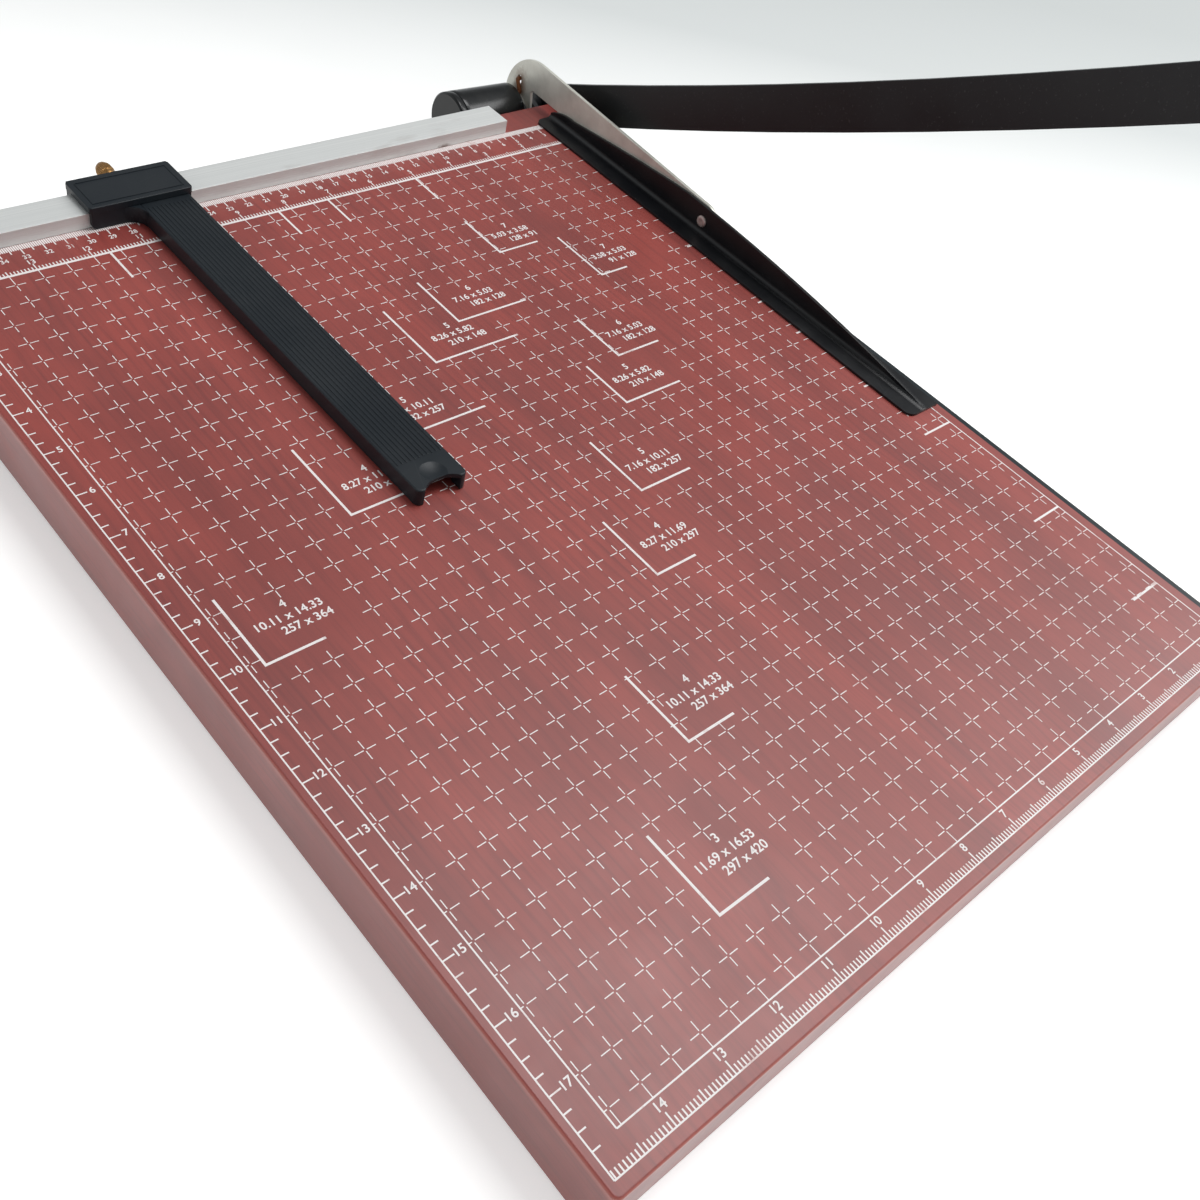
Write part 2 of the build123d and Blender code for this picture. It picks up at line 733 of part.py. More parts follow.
def torsion_spring():
    """The spring, bent from one wire: tail in its seat, coil, and a leg hooked into the lever's slot."""
    (y, z), (dy, dz) = coil_start()
    leg_x = lever_left - wire_radius - coil_gap
    reach = radians(lever_slot_angle)
    hook = (pivot_y + leg_reach_radius * sin(reach), pivot_z + leg_reach_radius * cos(reach))
    turn = (y + leg_run * dy, z + leg_run * dz)
    route = [(sleeve_left - seat_thickness / 2, *tail_point()), (coil_left, *tail_point())]
    for step in range(coil_turns * coil_steps + 1):
        bearing = 2 * pi * step / coil_steps - radians(coil_leaves_at)
        route.append((coil_left + coil_pitch * step / coil_steps,
                      pivot_y + coil_radius * sin(bearing), pivot_z + coil_radius * cos(bearing)))
    route += [(coil_right, *turn), (leg_x, *turn), (leg_x, *hook), (lever_right + wire_radius, *hook)]
    path = Polyline(*route)
    section = Plane(origin=path @ 0, z_dir=path % 0) * Circle(wire_radius)
    return sweep(section, path=path, transition=Transition.RIGHT)


def guard_crest(drop=0.0):
    """The guard's side view between its foot and the crest line, lowered by drop."""
    def at(y, height):
        return y, guard_rest_gap + height - drop
    rear = guard_rear
    shoulder = ThreePointArc(at(rear, guard_rear_height),
                             at((rear * 2 + guard_shoulder_y) / 3,
                                (guard_rear_height + guard_shoulder_height * 2) / 3),
                             at(guard_shoulder_y, guard_shoulder_height))
    back = ThreePointArc(at(guard_shoulder_y, guard_shoulder_height), at(guard_back_y, guard_back_height),
                         at(guard_crest_y, guard_crest_height))
    nose = ThreePointArc(at(guard_crest_y, guard_crest_height), at(guard_nose_y, guard_nose_height),
                         at(guard_front, guard_front_height))
    bottom = guard_rest_gap - drop
    front = Line(at(guard_front, guard_front_height), (guard_front, bottom))
    foot = Line((guard_front, bottom), (rear, bottom))
    end = Line((rear, bottom), at(rear, guard_rear_height))
    return make_face([shoulder, back, nose, front, foot, end])


def guard_bar():
    """The pressed clamp bar: two flanges on the bed and a web under a hemmed crest."""
    foot = guard_rest_gap
    flange_top = foot + guard_thickness
    height = guard_crest_height + foot
    left_root = (web_left - guard_root_radius, flange_top)
    outline = Polyline((guard_left, foot), (guard_right, foot), (guard_right, flange_top),
                       (web_right, flange_top), (web_right, height), (web_left, height),
                       (web_left, flange_top), (guard_left, flange_top), close=True)
    section = make_face(outline)
    inner = section.vertices().sort_by_distance((web_left, flange_top, 0))[0]
    section = fillet(inner, guard_root_radius)
    bar = extrude(Plane.XZ.offset(-guard_rear) * section, amount=guard_length)
    bar &= slab_x(guard_crest(), guard_left, guard_right)
    hem = guard_crest() - guard_crest(guard_hem_height)
    bar += slab_x(hem, web_left - guard_hem_thickness, web_left)
    bar = fillet(bar.edges().filter_by(Axis.Z).group_by(Axis.X)[0], guard_corner_radius)
    return bar - rod_x(rivet_radius + rivet_fit, web_left, web_right, lever_tip_y, rivet_z)


def lever_rivet():
    """The rivet through web and lever, a low dome on each side."""
    shank = rod_x(rivet_radius, web_left, lever_right, lever_tip_y, rivet_z)
    left = rod_x(rivet_head_radius, web_left - rivet_head_height, web_left, lever_tip_y, rivet_z)
    left = chamfer(left.edges().sort_by(Axis.X)[0], rivet_head_height / 2)
    right = rod_x(rivet_head_radius, lever_right, lever_right + rivet_head_height, lever_tip_y, rivet_z)
    right = chamfer(right.edges().sort_by(Axis.X)[-1], rivet_head_height / 2)
    return shank + left + right


def stop_head():
    """The head of the paper stop: cap plate, fence wall, rear wall and a hook under the rail's lip."""
    under = rail_height + stop_rail_gap
    hook_top = rail_lip_bottom - stop_rail_gap
    hook_bottom = hook_top - stop_hook_thickness
    wall_inner = rail_rear + stop_rail_gap
    fence_inner = rail_front - stop_rail_gap
    outline = Polyline(
        (stop_head_front, stop_bed_gap), (stop_head_front, stop_head_top),
        (stop_head_rear, stop_head_top), (stop_head_rear, hook_bottom),
        (wall_inner - stop_hook_reach, hook_bottom), (wall_inner - stop_hook_reach, hook_top),
        (wall_inner, hook_top), (wall_inner, under), (fence_inner, under),
        (fence_inner, stop_bed_gap), close=True)
    left = stop_head_left + stop_plate_overhang
    right = stop_head_right - stop_plate_overhang
    body = slab_x(make_face(outline), left, right)
    fence_corners = [e for e in body.edges().filter_by(Axis.Y)
                     if e.center().Y < rail_front and e.center().Z < stop_head_corner]
    body = fillet(fence_corners, stop_head_corner)
    plate = block(stop_head_left, stop_head_right, stop_head_front - stop_plate_lip,
                  stop_head_rear, stop_head_top - stop_plate_thickness, stop_head_top)
    plate = fillet(plate.edges().filter_by(Axis.Z), stop_plate_corner)
    plate = fillet(plate.faces().sort_by(Axis.Z)[-1].edges(), stop_plate_round)
    boss = rod_y(clamp_boss_radius, stop_head_rear, clamp_boss_rear, stop_x, clamp_z)
    return body + plate + boss


def stop_arm():
    """The hollow arm, open below: side walls, thick toes, an arched front and a thumb dimple."""
    rear = stop_head_front + stop_arm_wall
    arm = block(stop_arm_left, stop_arm_right, stop_arm_front, rear, stop_bed_gap, stop_arm_height)
    arm = fillet(arm.edges().filter_by(Axis.Z).group_by(Axis.Y)[0], stop_toe_radius)
    arm = fillet(arm.faces().sort_by(Axis.Z)[-1].edges().filter_by(Axis.Y), stop_arm_round)
    under = stop_arm_height - stop_arm_wall
    toe_end = stop_arm_front + stop_toe_length
    arm -= block(stop_arm_left + stop_arm_wall, stop_arm_right - stop_arm_wall,
                 toe_end, stop_head_front - stop_arm_wall, 0, under)
    arm -= block(stop_arm_left + stop_toe_wall, stop_arm_right - stop_toe_wall,
                 stop_arm_front, toe_end, 0, under)
    middle = (stop_arm_left + stop_arm_right) / 2
    half = stop_arm_width / 2 - stop_toe_wall
    arch = (half ** 2 + stop_arch_depth ** 2) / (2 * stop_arch_depth)
    arm -= Pos(middle, stop_arm_front + stop_arch_depth - arch) * Cylinder(arch, 2 * stop_head_top)
    dimple_y = stop_arm_front + stop_arch_depth + stop_toe_length / 2
    dimple_z = stop_arm_height + stop_thumb_radius - stop_thumb_depth
    arm -= Pos(middle, dimple_y, dimple_z) * Sphere(stop_thumb_radius)
    flare_left = stop_arm_left - stop_flare_radius
    flare_front = stop_head_front - stop_flare_radius
    flare = block(flare_left, stop_arm_left, flare_front, stop_head_front, stop_bed_gap, stop_arm_height)
    flare -= Pos(flare_left, flare_front) * Cylinder(stop_flare_radius, 2 * stop_head_top)
    return arm + flare


def stop_body():
    """The moulded paper stop: head and arm in one, with seats for the insert and the pad."""
    body = stop_head() + stop_arm()
    body -= rod_y(clamp_insert_radius + screw_fit, clamp_insert_front, clamp_boss_rear, stop_x, clamp_z)
    pocket = clamp_pad_rear + clamp_travel + screw_fit
    body -= rod_y(clamp_pad_radius + screw_fit, rail_rear, pocket, stop_x, clamp_z)
    return body - rod_y(clamp_screw_radius + clamp_thread_fit, rail_rear, clamp_boss_rear, stop_x, clamp_z)


def clamp_insert():
    """The brass insert moulded into the rear boss."""
    ring = rod_y(clamp_insert_radius, clamp_insert_front, clamp_boss_rear, stop_x, clamp_z)
    bore = clamp_screw_radius + clamp_thread_fit
    return ring - rod_y(bore, clamp_insert_front, clamp_boss_rear, stop_x, clamp_z)


def clamp_pad():
    """The nylon pad that presses on the rail's lip, with a socket for the screw's tip."""
    pad = rod_y(clamp_pad_radius, clamp_pad_front, clamp_pad_rear, stop_x, clamp_z)
    socket = clamp_pad_front + clamp_pad_floor
    return pad - rod_y(clamp_tip_radius + clamp_thread_fit, socket, clamp_pad_rear, stop_x, clamp_z)


def clamp_screw():
    """The clamp screw, with a thin tip that sits in the pad."""
    tip = clamp_pad_front + clamp_pad_floor + clamp_thread_fit
    shoulder = clamp_pad_rear + clamp_thread_fit
    screw = rod_y(clamp_tip_radius, tip, shoulder, stop_x, clamp_z)
    return screw + rod_y(clamp_screw_radius, shoulder, knob_centre, stop_x, clamp_z)


def clamp_knob():
    """The brass knob: a turned ball on a short neck, pressed on the screw."""
    neck = rod_y(clamp_neck_radius, knob_front, knob_centre, stop_x, clamp_z)
    ball = Pos(stop_x, knob_centre, clamp_z) * Sphere(clamp_knob_radius)
    bore = rod_y(clamp_screw_radius + rivet_fit, knob_front, knob_centre, stop_x, clamp_z)
    return neck + ball - bore


NODES = [base_board, lower_blade, lower_blade_screws, rubber_feet, foot_screws,
         guide_rail, rail_screws, hinge_bracket, bracket_screws, pivot_bolt, pivot_nut,
         outer_washer, arm_spacer, lever_bush, lever_washers, spring_sleeve, spring_seat,
         spring_cover, spring_cover_cap, torsion_spring, blade_arm, arm_bush, handle_grip,
         lift_lever, guard_bar, lever_rivet, stop_body, clamp_insert, clamp_pad,
         clamp_screw, clamp_knob]

os.makedirs("parts", exist_ok=True)
for node in NODES:
    made = node()
    solids = made if isinstance(made, list) else [made]
    shape = Compound(solids) if len(solids) > 1 else solids[0]
    export_step(shape, f"parts/{node.__name__}.step")
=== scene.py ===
import json
import math
import bmesh
import bpy
from mathutils import Euler, Matrix, Vector


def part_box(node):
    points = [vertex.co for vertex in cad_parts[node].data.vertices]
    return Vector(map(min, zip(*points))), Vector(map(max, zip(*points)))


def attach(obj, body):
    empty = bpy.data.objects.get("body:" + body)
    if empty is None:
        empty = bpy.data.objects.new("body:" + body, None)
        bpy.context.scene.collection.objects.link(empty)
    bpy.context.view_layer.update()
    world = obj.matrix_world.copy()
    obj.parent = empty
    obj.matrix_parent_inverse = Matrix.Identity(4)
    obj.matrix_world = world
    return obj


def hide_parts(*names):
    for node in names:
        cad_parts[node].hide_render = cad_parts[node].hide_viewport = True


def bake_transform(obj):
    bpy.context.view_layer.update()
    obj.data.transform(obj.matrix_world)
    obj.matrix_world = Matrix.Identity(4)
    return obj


# A hand lever paper trimmer: a printed wooden bed with a curved blade arm, a sprung guard bar and a
# sliding paper stop. Metres, in the frame of the CAD model: X = 0 is the cut, Y = 0 the fence's zero
# line and Z = 0 the surface of the bed.
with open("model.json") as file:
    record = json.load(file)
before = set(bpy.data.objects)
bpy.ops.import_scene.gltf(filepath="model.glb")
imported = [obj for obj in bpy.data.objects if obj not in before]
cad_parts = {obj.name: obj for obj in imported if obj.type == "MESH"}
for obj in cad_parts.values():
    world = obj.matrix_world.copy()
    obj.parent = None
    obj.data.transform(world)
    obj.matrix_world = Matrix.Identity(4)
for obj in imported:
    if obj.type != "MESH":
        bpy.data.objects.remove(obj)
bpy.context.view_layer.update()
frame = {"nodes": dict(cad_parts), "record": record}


# The bed: a thick board faced with mahogany-red stained veneer under a satin lacquer. Its grain runs from
# rear to front, and its edges are rounded over, with a painted highlight that makes them paler.
def put(tree, kind, wires=None, **settings):
    """A shader node; wires gives its sockets, by name or number, a value or another node's socket."""
    made = tree.nodes.new("ShaderNode" + kind)
    for name, value in settings.items():
        setattr(made, name, value)
    for socket, value in (wires or {}).items():
        if isinstance(value, bpy.types.NodeSocket):
            tree.links.new(value, made.inputs[socket])
        else:
            made.inputs[socket].default_value = value
    return made


def graded(tree, factor, *stops):
    """A colour ramp from (place, colour) stops."""
    made = put(tree, "ValToRGB", {0: factor})
    marks = made.color_ramp.elements
    while len(marks) < len(stops):
        marks.new(0.5)
    for mark, (place, colour) in zip(marks, stops):
        mark.position = place
        mark.color = (*colour, 1) if isinstance(colour, tuple) else (colour, colour, colour, 1)
    return made.outputs[0]


def blended(tree, factor, first, second, way="MIX"):
    """Two colours mixed."""
    made = put(tree, "Mix", {0: factor}, data_type="RGBA", blend_type=way)
    for socket, value in ((made.inputs[6], first), (made.inputs[7], second)):
        if isinstance(value, bpy.types.NodeSocket):
            tree.links.new(value, socket)
        else:
            socket.default_value = (*value, 1)
    return made.outputs[2]


def seen(red, green, blue):
    """A colour written as it looks, from 0 to 255, as the shaders take it."""
    return tuple(((c / 255 + 0.055) / 1.055) ** 2.4 if c > 10 else c / 3295 for c in (red, green, blue))


def stretched(tree, vector, across, detail=3.0, roughness=0.55, distortion=0.0):
    """Noise on coordinates scaled by across, three numbers of waves per metre."""
    scaled = put(tree, "VectorMath", {0: vector, 1: across}, operation="MULTIPLY")
    return put(tree, "TexNoise", {"Vector": scaled.outputs[0], "Scale": 1.0, "Detail": detail,
                                  "Roughness": roughness, "Distortion": distortion}).outputs["Fac"]


def new_group(name, takes, gives):
    """An empty shader group with named sockets: (name, kind, value) in, (name, kind) out."""
    group = bpy.data.node_groups.new(name, "ShaderNodeTree")
    for socket, kind, value in takes:
        made = group.interface.new_socket(socket, in_out="INPUT", socket_type="NodeSocket" + kind)
        made.default_value = value
    for socket, kind in gives:
        group.interface.new_socket(socket, in_out="OUTPUT", socket_type="NodeSocket" + kind)
    return group, group.nodes.new("NodeGroupInput").outputs, group.nodes.new("NodeGroupOutput").inputs


def use(tree, group, **wires):
    """A group placed in a material, its sockets set by name; spaces are written as underscores."""
    made = tree.nodes.new("ShaderNodeGroup")
    made.node_tree = group
    for socket, value in wires.items():
        socket = made.inputs[socket.replace("_", " ")]
        if isinstance(value, bpy.types.NodeSocket):
            tree.links.new(value, socket)
        else:
            socket.default_value = value
    return made.outputs


def grain_group():
    """Flat-sawn veneer: growth rings cut as long arches, with short fine streaks and dark clouds."""
    group, takes, gives = new_group(
        "Wood grain", [("Vector", "Vector", (0, 0, 0))],
        [("Rings", "Float"), ("Streaks", "Float"), ("Clouds", "Float")])
    sway = put(group, "TexNoise", {"Vector": takes["Vector"], "Scale": 14.0, "Detail": 2.0})
    drift = put(group, "VectorMath", {0: sway.outputs["Color"], 1: (0.5, 0.5, 0.5)}, operation="SUBTRACT")
    reach = put(group, "VectorMath", {0: drift.outputs[0], 1: (0.010, 0.06, 0.02)}, operation="MULTIPLY")
    swung = put(group, "VectorMath", {0: takes["Vector"], 1: reach.outputs[0]}, operation="ADD")
    log = put(group, "Mapping", {"Vector": swung.outputs[0], "Location": (0.266, 0.040, 0.012),
                                 "Scale": (1.0, 0.072, 0.5)})
    age = put(group, "VectorMath", {0: log.outputs[0]}, operation="LENGTH")
    turn = put(group, "Math", {0: age.outputs["Value"], 1: 2 * math.pi / 0.0042}, operation="MULTIPLY")
    wave = put(group, "Math", {0: turn.outputs[0]}, operation="SINE")
    late = put(group, "MapRange", {0: wave.outputs[0], 1: 0.2, 2: 1.0})
    faint = put(group, "MapRange", {0: stretched(group, takes["Vector"], (22, 5, 22), 3.0), 1: 0.38, 2: 0.66})
    rings = put(group, "Math", {0: late.outputs[0], 1: faint.outputs[0]}, operation="MULTIPLY")
    streaks = stretched(group, takes["Vector"], (760, 20, 760), 4.0, 0.6)
    clouds = stretched(group, swung.outputs[0], (26, 7, 26), 4.0, 0.6, 0.4)
    group.links.new(rings.outputs[0], gives["Rings"])
    group.links.new(streaks, gives["Streaks"])
    group.links.new(clouds, gives["Clouds"])
    return group


def wear_group():
    """Use: smudges that change the gloss, and hair scratches that run all ways."""
    group, takes, gives = new_group(
        "Handling wear", [("Vector", "Vector", (0, 0, 0)), ("Gloss", "Float", 0.4), ("Spread", "Float", 0.1)],
        [("Roughness", "Float"), ("Scratches", "Float"), ("Smudges", "Float")])
    smudges = stretched(group, takes["Vector"], (28, 28, 28), 4.0, 0.6)
    lines = None
    for turn in (0.35, 1.25, 2.3):
        turned = put(group, "VectorRotate", {"Vector": takes["Vector"], "Angle": turn},
                     rotation_type="Z_AXIS")
        hair = stretched(group, turned.outputs[0], (1400, 22, 700), 1.0, 0.5)
        hair = put(group, "MapRange", {0: hair, 1: 0.70, 2: 0.78})
        lines = hair if lines is None else put(group, "Math", {0: lines.outputs[0], 1: hair.outputs[0]},
                                               operation="MAXIMUM")
    shift = put(group, "MapRange", {0: smudges, 1: 0.3, 2: 0.7, 3: -1.0, 4: 1.0})
    spread = put(group, "Math", {0: shift.outputs[0], 1: takes["Spread"], 2: takes["Gloss"]},
                 operation="MULTIPLY_ADD")
    group.links.new(spread.outputs[0], gives["Roughness"])
    group.links.new(lines.outputs[0], gives["Scratches"])
    group.links.new(smudges, gives["Smudges"])
    return group


def finish(name, **values):
    """A new material: its tree, its Principled shader with the given sockets set, and Object coordinates."""
    material = bpy.data.materials.new(name)
    material.use_nodes = True
    tree = material.node_tree
    shader = tree.nodes["Principled BSDF"]
    for socket, value in values.items():
        shader.inputs[socket.replace("_", " ")].default_value = value
    place = put(tree, "TexCoord").outputs["Object"]
    return material, tree, shader, place


def emboss(tree, shader, height, depth):
    """Gives a shader fine relief; depth is in metres."""
    bump = put(tree, "Bump", {"Height": height, "Distance": depth, "Strength": 1.0})
    tree.links.new(bump.outputs[0], shader.inputs["Normal"])


wood_grain = grain_group()
handling_wear = wear_group()


def stained_wood():
    """Mahogany-red stain: darker growth rings, streaks and clouds under a satin lacquer, with a painted
    highlight on the rounded edges.
    """
    material, tree, shader, place = finish("Stained board", Coat_Weight=0.5, Coat_Roughness=0.42)
    grain = use(tree, wood_grain, Vector=place)
    wear = use(tree, handling_wear, Vector=place, Gloss=0.44, Spread=0.05)
    body = blended(tree, graded(tree, grain["Clouds"], (0.36, 0.0), (0.68, 1.0)),
                   seen(156, 66, 58), seen(132, 56, 51))
    body = blended(tree, graded(tree, grain["Streaks"], (0.30, 0.38), (0.50, 0.0)), body, seen(104, 44, 43))
    body = blended(tree, graded(tree, grain["Rings"], (0.0, 0.0), (1.0, 0.30)), body, seen(92, 38, 40))
    # Painted highlight: a band just below the top, on the rounded edges, is mixed towards a paler red as if
    # it caught the light.
    height = put(tree, "SeparateXYZ", {0: place}).outputs["Z"]
    painted_edge_highlight = graded(tree, put(tree, "MapRange", {0: height, 1: -0.0035, 2: 0.0}).outputs[0],
                     (0.0, 0.0), (0.5, 0.7), (0.93, 0.7), (0.99, 0.0))
    body = blended(tree, painted_edge_highlight, body, seen(182, 96, 84))
    tree.links.new(body, shader.inputs["Base Color"])
    tree.links.new(wear["Roughness"], shader.inputs["Roughness"])
    emboss(tree, shader, grain["Streaks"], 0.00003)
    return material


def dress(node, material):
    """Gives a CAD node its finish."""
    slots = frame["nodes"][node].data.materials
    slots.clear()
    slots.append(material)


dress("base_board", stained_wood())


# The print on the bed: white screen-printed crosses every half inch, inch and centimetre rulers,
# and corner marks for the usual sheet sizes with plain figures beside them. Each pass of the screen
# lies a little over the last.
inch, mm = 0.0254, 0.001
first_pass, second_pass, third_pass = 0.00004, 0.00006, 0.00008
cross_pitch = 0.5 * inch
cross_arm = 0.170 * inch
cross_gap = 0.024 * inch
cross_columns, cross_rows = range(1, 30), range(2, 36)
hairline = 0.00038
rule_line = 0.00056
mark_line = 0.00105


def bar(bm, x0, x1, y0, y1, ink):
    """A printed bar between two corners, in metres; ink is how far it stands up."""
    middle = Vector(((x0 + x1) / 2, (y0 + y1) / 2, ink / 2))
    size = (abs(x1 - x0), abs(y1 - y0), ink, 1)
    bmesh.ops.create_cube(bm, size=1, matrix=Matrix.Translation(middle) @ Matrix.Diagonal(size))


def across(bm, y, x0, x1, width, ink):
    """A printed line along X."""
    bar(bm, x0, x1, y - width / 2, y + width / 2, ink)


def down(bm, x, y0, y1, width, ink):
    """A printed line along Y."""
    bar(bm, x - width / 2, x + width / 2, y0, y1, ink)


digit_share, stroke_share = 0.70, 0.022


def figures(bm, text, x, y, height):
    """Printed figures centred on a point, in a heavy plain face."""
    curve = bpy.data.curves.new("figures", "FONT")
    curve.body = text
    curve.size = height / digit_share
    curve.align_x = "CENTER"
    curve.align_y = "CENTER"
    curve.offset = height * stroke_share
    curve.extrude = third_pass / 2
    curve.resolution_u = 3
    holder = bpy.data.objects.new("figures", curve)
    mesh = bpy.data.meshes.new_from_object(holder)
    mesh.transform(Matrix.Translation((x, y, third_pass / 2)))
    bm.from_mesh(mesh)
    bpy.data.objects.remove(holder)
    bpy.data.curves.remove(curve)
    bpy.data.meshes.remove(mesh)


def piece(name, bm, material, body, smooth=False, replaces=()):
    """Turns a finished bmesh into a piece that rides on a body, or on none yet."""
    mesh = bpy.data.meshes.new(name)
    bm.to_mesh(mesh)
    bm.free()
    mesh.materials.append(material)
    if smooth:
        mesh.shade_smooth()
    made = bpy.data.objects.new(name, mesh)
    bpy.context.scene.collection.objects.link(made)
    if body:
        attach(made, body)
    if replaces:
        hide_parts(*replaces)
    return made


def print_paint():
    """White screen ink, worn a little thinner here and there so that the stain shows through."""
    material, tree, shader, place = finish("White ink", Roughness=0.5)
    worn = stretched(tree, place, (70, 70, 70), 4.0, 0.7)
    thin = graded(tree, worn, (0.30, 1.0), (0.42, 0.0))
    ink = blended(tree, thin, seen(238, 232, 230), seen(206, 178, 174))
    tree.links.new(ink, shader.inputs["Base Color"])
    tree.links.new(graded(tree, worn, (0.3, 0.42), (0.7, 0.6)), shader.inputs["Roughness"])
    return material


white_ink = print_paint()
# Sheet marks: the sheet's two sides in millimetres (distance from the cut, distance from the fence),
# the inches at which the upright leg starts and the level leg ends, and then where the first row of
# figures stands, in millimetres to the right of the upright leg and above the level one, then the
# single digit on top and the side that the figures name first.
sheets = [
    (297, 420, 15.13, 10.74, 19.6, 21.6, 3, 297), (257, 364, 12.95, 9.18, 19.2, 21.6, 4, 257),
    (210, 297, 10.36, 7.40, 19.0, 20.8, 4, 210), (182, 257, 8.77, 6.00, 17.2, 18.8, 5, 182),
    (148, 210, 7.14, 4.47, 17.2, 20.0, 5, 210), (128, 182, 5.97, 4.00, 17.6, 19.8, 6, 182),
    (91, 128, 3.64, 2.89, 17.9, 19.2, 7, 91), (128, 91, 2.43, 4.07, 17.2, 18.2, 7, 128),
    (182, 128, 3.74, 5.57, 20.0, 19.6, 6, 182), (210, 148, 4.21, 6.40, 20.8, 19.8, 5, 210),
    (257, 182, 5.15, 8.21, 18.4, 19.4, 5, 182), (297, 210, 6.60, 9.50, 19.2, 19.8, 4, 210),
    (364, 257, 8.74, 13.37, 19.8, 21.2, 4, 257)]
row_pitch = 0.0057
row_shift = (0.0, -0.0010, 0.0036)
figure_height = 0.0036
left_rule, inner_rule, right_rule = -14.968 * inch, -14.574 * inch, -0.333 * inch
rear_rule, front_rule, front_ruler = -0.735 * inch, -17.726 * inch, -18.13 * inch
rear_rule_line = 0.00125
clear_left, clear_right, clear_below, clear_above = 0.0035, 0.0410, 0.0015, 0.0034


def under_figures(x, y):
    """True where a cross would run into the figures of a sheet mark or its level leg."""
    return any(clear_left < x + wide * mm < clear_right
               and -clear_below < y + deep * mm < up * mm + clear_above
               for wide, deep, _, _, _, up, _, _ in sheets)


bm = bmesh.new()
for column in cross_columns:
    for row in cross_rows:
        x, y = -column * cross_pitch, -row * cross_pitch
        if under_figures(x, y):
            continue
        left = max(x - cross_arm, inner_rule)
        right = min(x + cross_arm, right_rule)
        across(bm, y, left, x - cross_gap, hairline, first_pass)
        across(bm, y, x + cross_gap, right, hairline, first_pass)
        down(bm, x, y - cross_arm, y - cross_gap, hairline, first_pass)
        down(bm, x, y + cross_gap, y + cross_arm, hairline, first_pass)
piece("printed_crosses", bm, white_ink, "base")

quarters, sixteenths = range(4, 72), range(6, 240)
side_long, side_short = 0.18 * inch, 0.126 * inch
front_long, front_middle, front_short, rear_share = 0.2 * inch, 0.15 * inch, 0.112 * inch, 0.9
right_marks, right_mark_end = (5.04, 7.17, 8.27, 10.12, 11.69, 14.33, 16.53), -1.14 * inch
rear_marks, rear_mark_end = (11.69, 8.27, 7.16, 5.04), -1.55 * inch
bm = bmesh.new()
down(bm, left_rule, front_ruler, rear_rule, rule_line, second_pass)
down(bm, inner_rule, front_rule, rear_rule, rule_line, second_pass)
down(bm, right_rule, front_rule, rear_rule, rule_line, second_pass)
across(bm, rear_rule, left_rule, right_rule, rear_rule_line, third_pass)
across(bm, front_rule, inner_rule, right_rule, rule_line, third_pass)
across(bm, front_ruler, left_rule, right_rule, rule_line, third_pass)
for quarter in quarters:
    reach = side_long if quarter % 4 == 0 else side_short
    across(bm, -quarter / 4 * inch, left_rule, left_rule + reach, rule_line, first_pass)
for sixteenth in sixteenths:
    reach = front_long if sixteenth % 16 == 0 else front_middle if sixteenth % 8 == 0 else front_short
    x = -sixteenth / 16 * inch
    if x > left_rule:
        down(bm, x, front_ruler, front_ruler + reach, rule_line, first_pass)
    if inner_rule < x:
        down(bm, x, rear_rule, rear_rule + reach * rear_share, rule_line, first_pass)
for column in cross_columns:
    x = -column * cross_pitch
    down(bm, x, rear_rule, -cross_rows[0] * cross_pitch + cross_arm, hairline, first_pass)
    down(bm, x, -cross_rows[-1] * cross_pitch - cross_arm, front_rule, hairline, first_pass)
for mark in right_marks:
    across(bm, -mark * inch, right_mark_end, right_rule, mark_line, third_pass)
for mark in rear_marks:
    down(bm, -mark * inch, rear_mark_end, rear_rule, mark_line, second_pass)
for wide, deep, leg_top, leg_end, _, _, _, _ in sheets:
    x, y = -wide * mm, -deep * mm
    down(bm, x, y - mark_line / 2, -leg_top * inch, mark_line, third_pass)
    across(bm, y, x + mark_line / 2, -leg_end * inch, mark_line, third_pass)
piece("printed_rulers", bm, white_ink, "base")

# The centimetre ruler: close-set millimetre strokes along the foot of the fence, with longer ones
# hanging towards the user at each five and ten.
ticks = range(9, 378)
stroke_rear, stroke_front, stroke_width = 0.0015, -0.0020, 0.00074
tails, short_tail = {0: -0.0060, 5: -0.0044}, -0.0024
bold, plain = 1.5, 1.2
bm = bmesh.new()
for tick in ticks:
    tail_width = hairline * (bold if tick % 5 == 0 else plain)
    down(bm, -tick * mm, stroke_rear, stroke_front, stroke_width, first_pass)
    down(bm, -tick * mm, stroke_front, tails.get(tick % 10, short_tail), tail_width, first_pass)
piece("printed_fence_ruler", bm, white_ink, "base")

# The figures. Inches are cut off after two digits, apart from those of the commonest sheet, which
# are rounded.
side_figures, front_figures, inch_figure = -14.71 * inch, -17.84 * inch, 0.125 * inch
rear_figures, rear_figure = -0.490 * inch, 0.115 * inch
fence_figures, fence_figure = -0.0083, 0.0026
side_numbers, front_numbers, fence_numbers = range(1, 18), range(1, 15), range(1, 38)
centimetre, hundredth_of_inch = 10 * mm, 0.254
bm = bmesh.new()
for wide, deep, _, _, along, up, digit, first in sheets:
    second = wide + deep - first
    shorten = round if (first, second) == (210, 297) else math.floor
    in_inches = [f"{shorten(side / hundredth_of_inch) / 100:.2f}" for side in (first, second)]
    for row, text in enumerate((str(digit), " x ".join(in_inches), f"{first} x {second}")):
        middle = (along - wide) * mm + row_shift[row]
        level = (up - deep) * mm - row * row_pitch
        figures(bm, text, middle, level, figure_height)
for number in side_numbers:
    figures(bm, str(number), side_figures, -number * inch, inch_figure)
for number in front_numbers:
    figures(bm, str(number), -number * inch, front_figures, inch_figure)
    figures(bm, str(number), -number * inch, rear_figures, rear_figure)
for number in fence_numbers:
    figures(bm, str(number), -number * centimetre, fence_figures, fence_figure)
piece("printed_figures", bm, white_ink, "base")


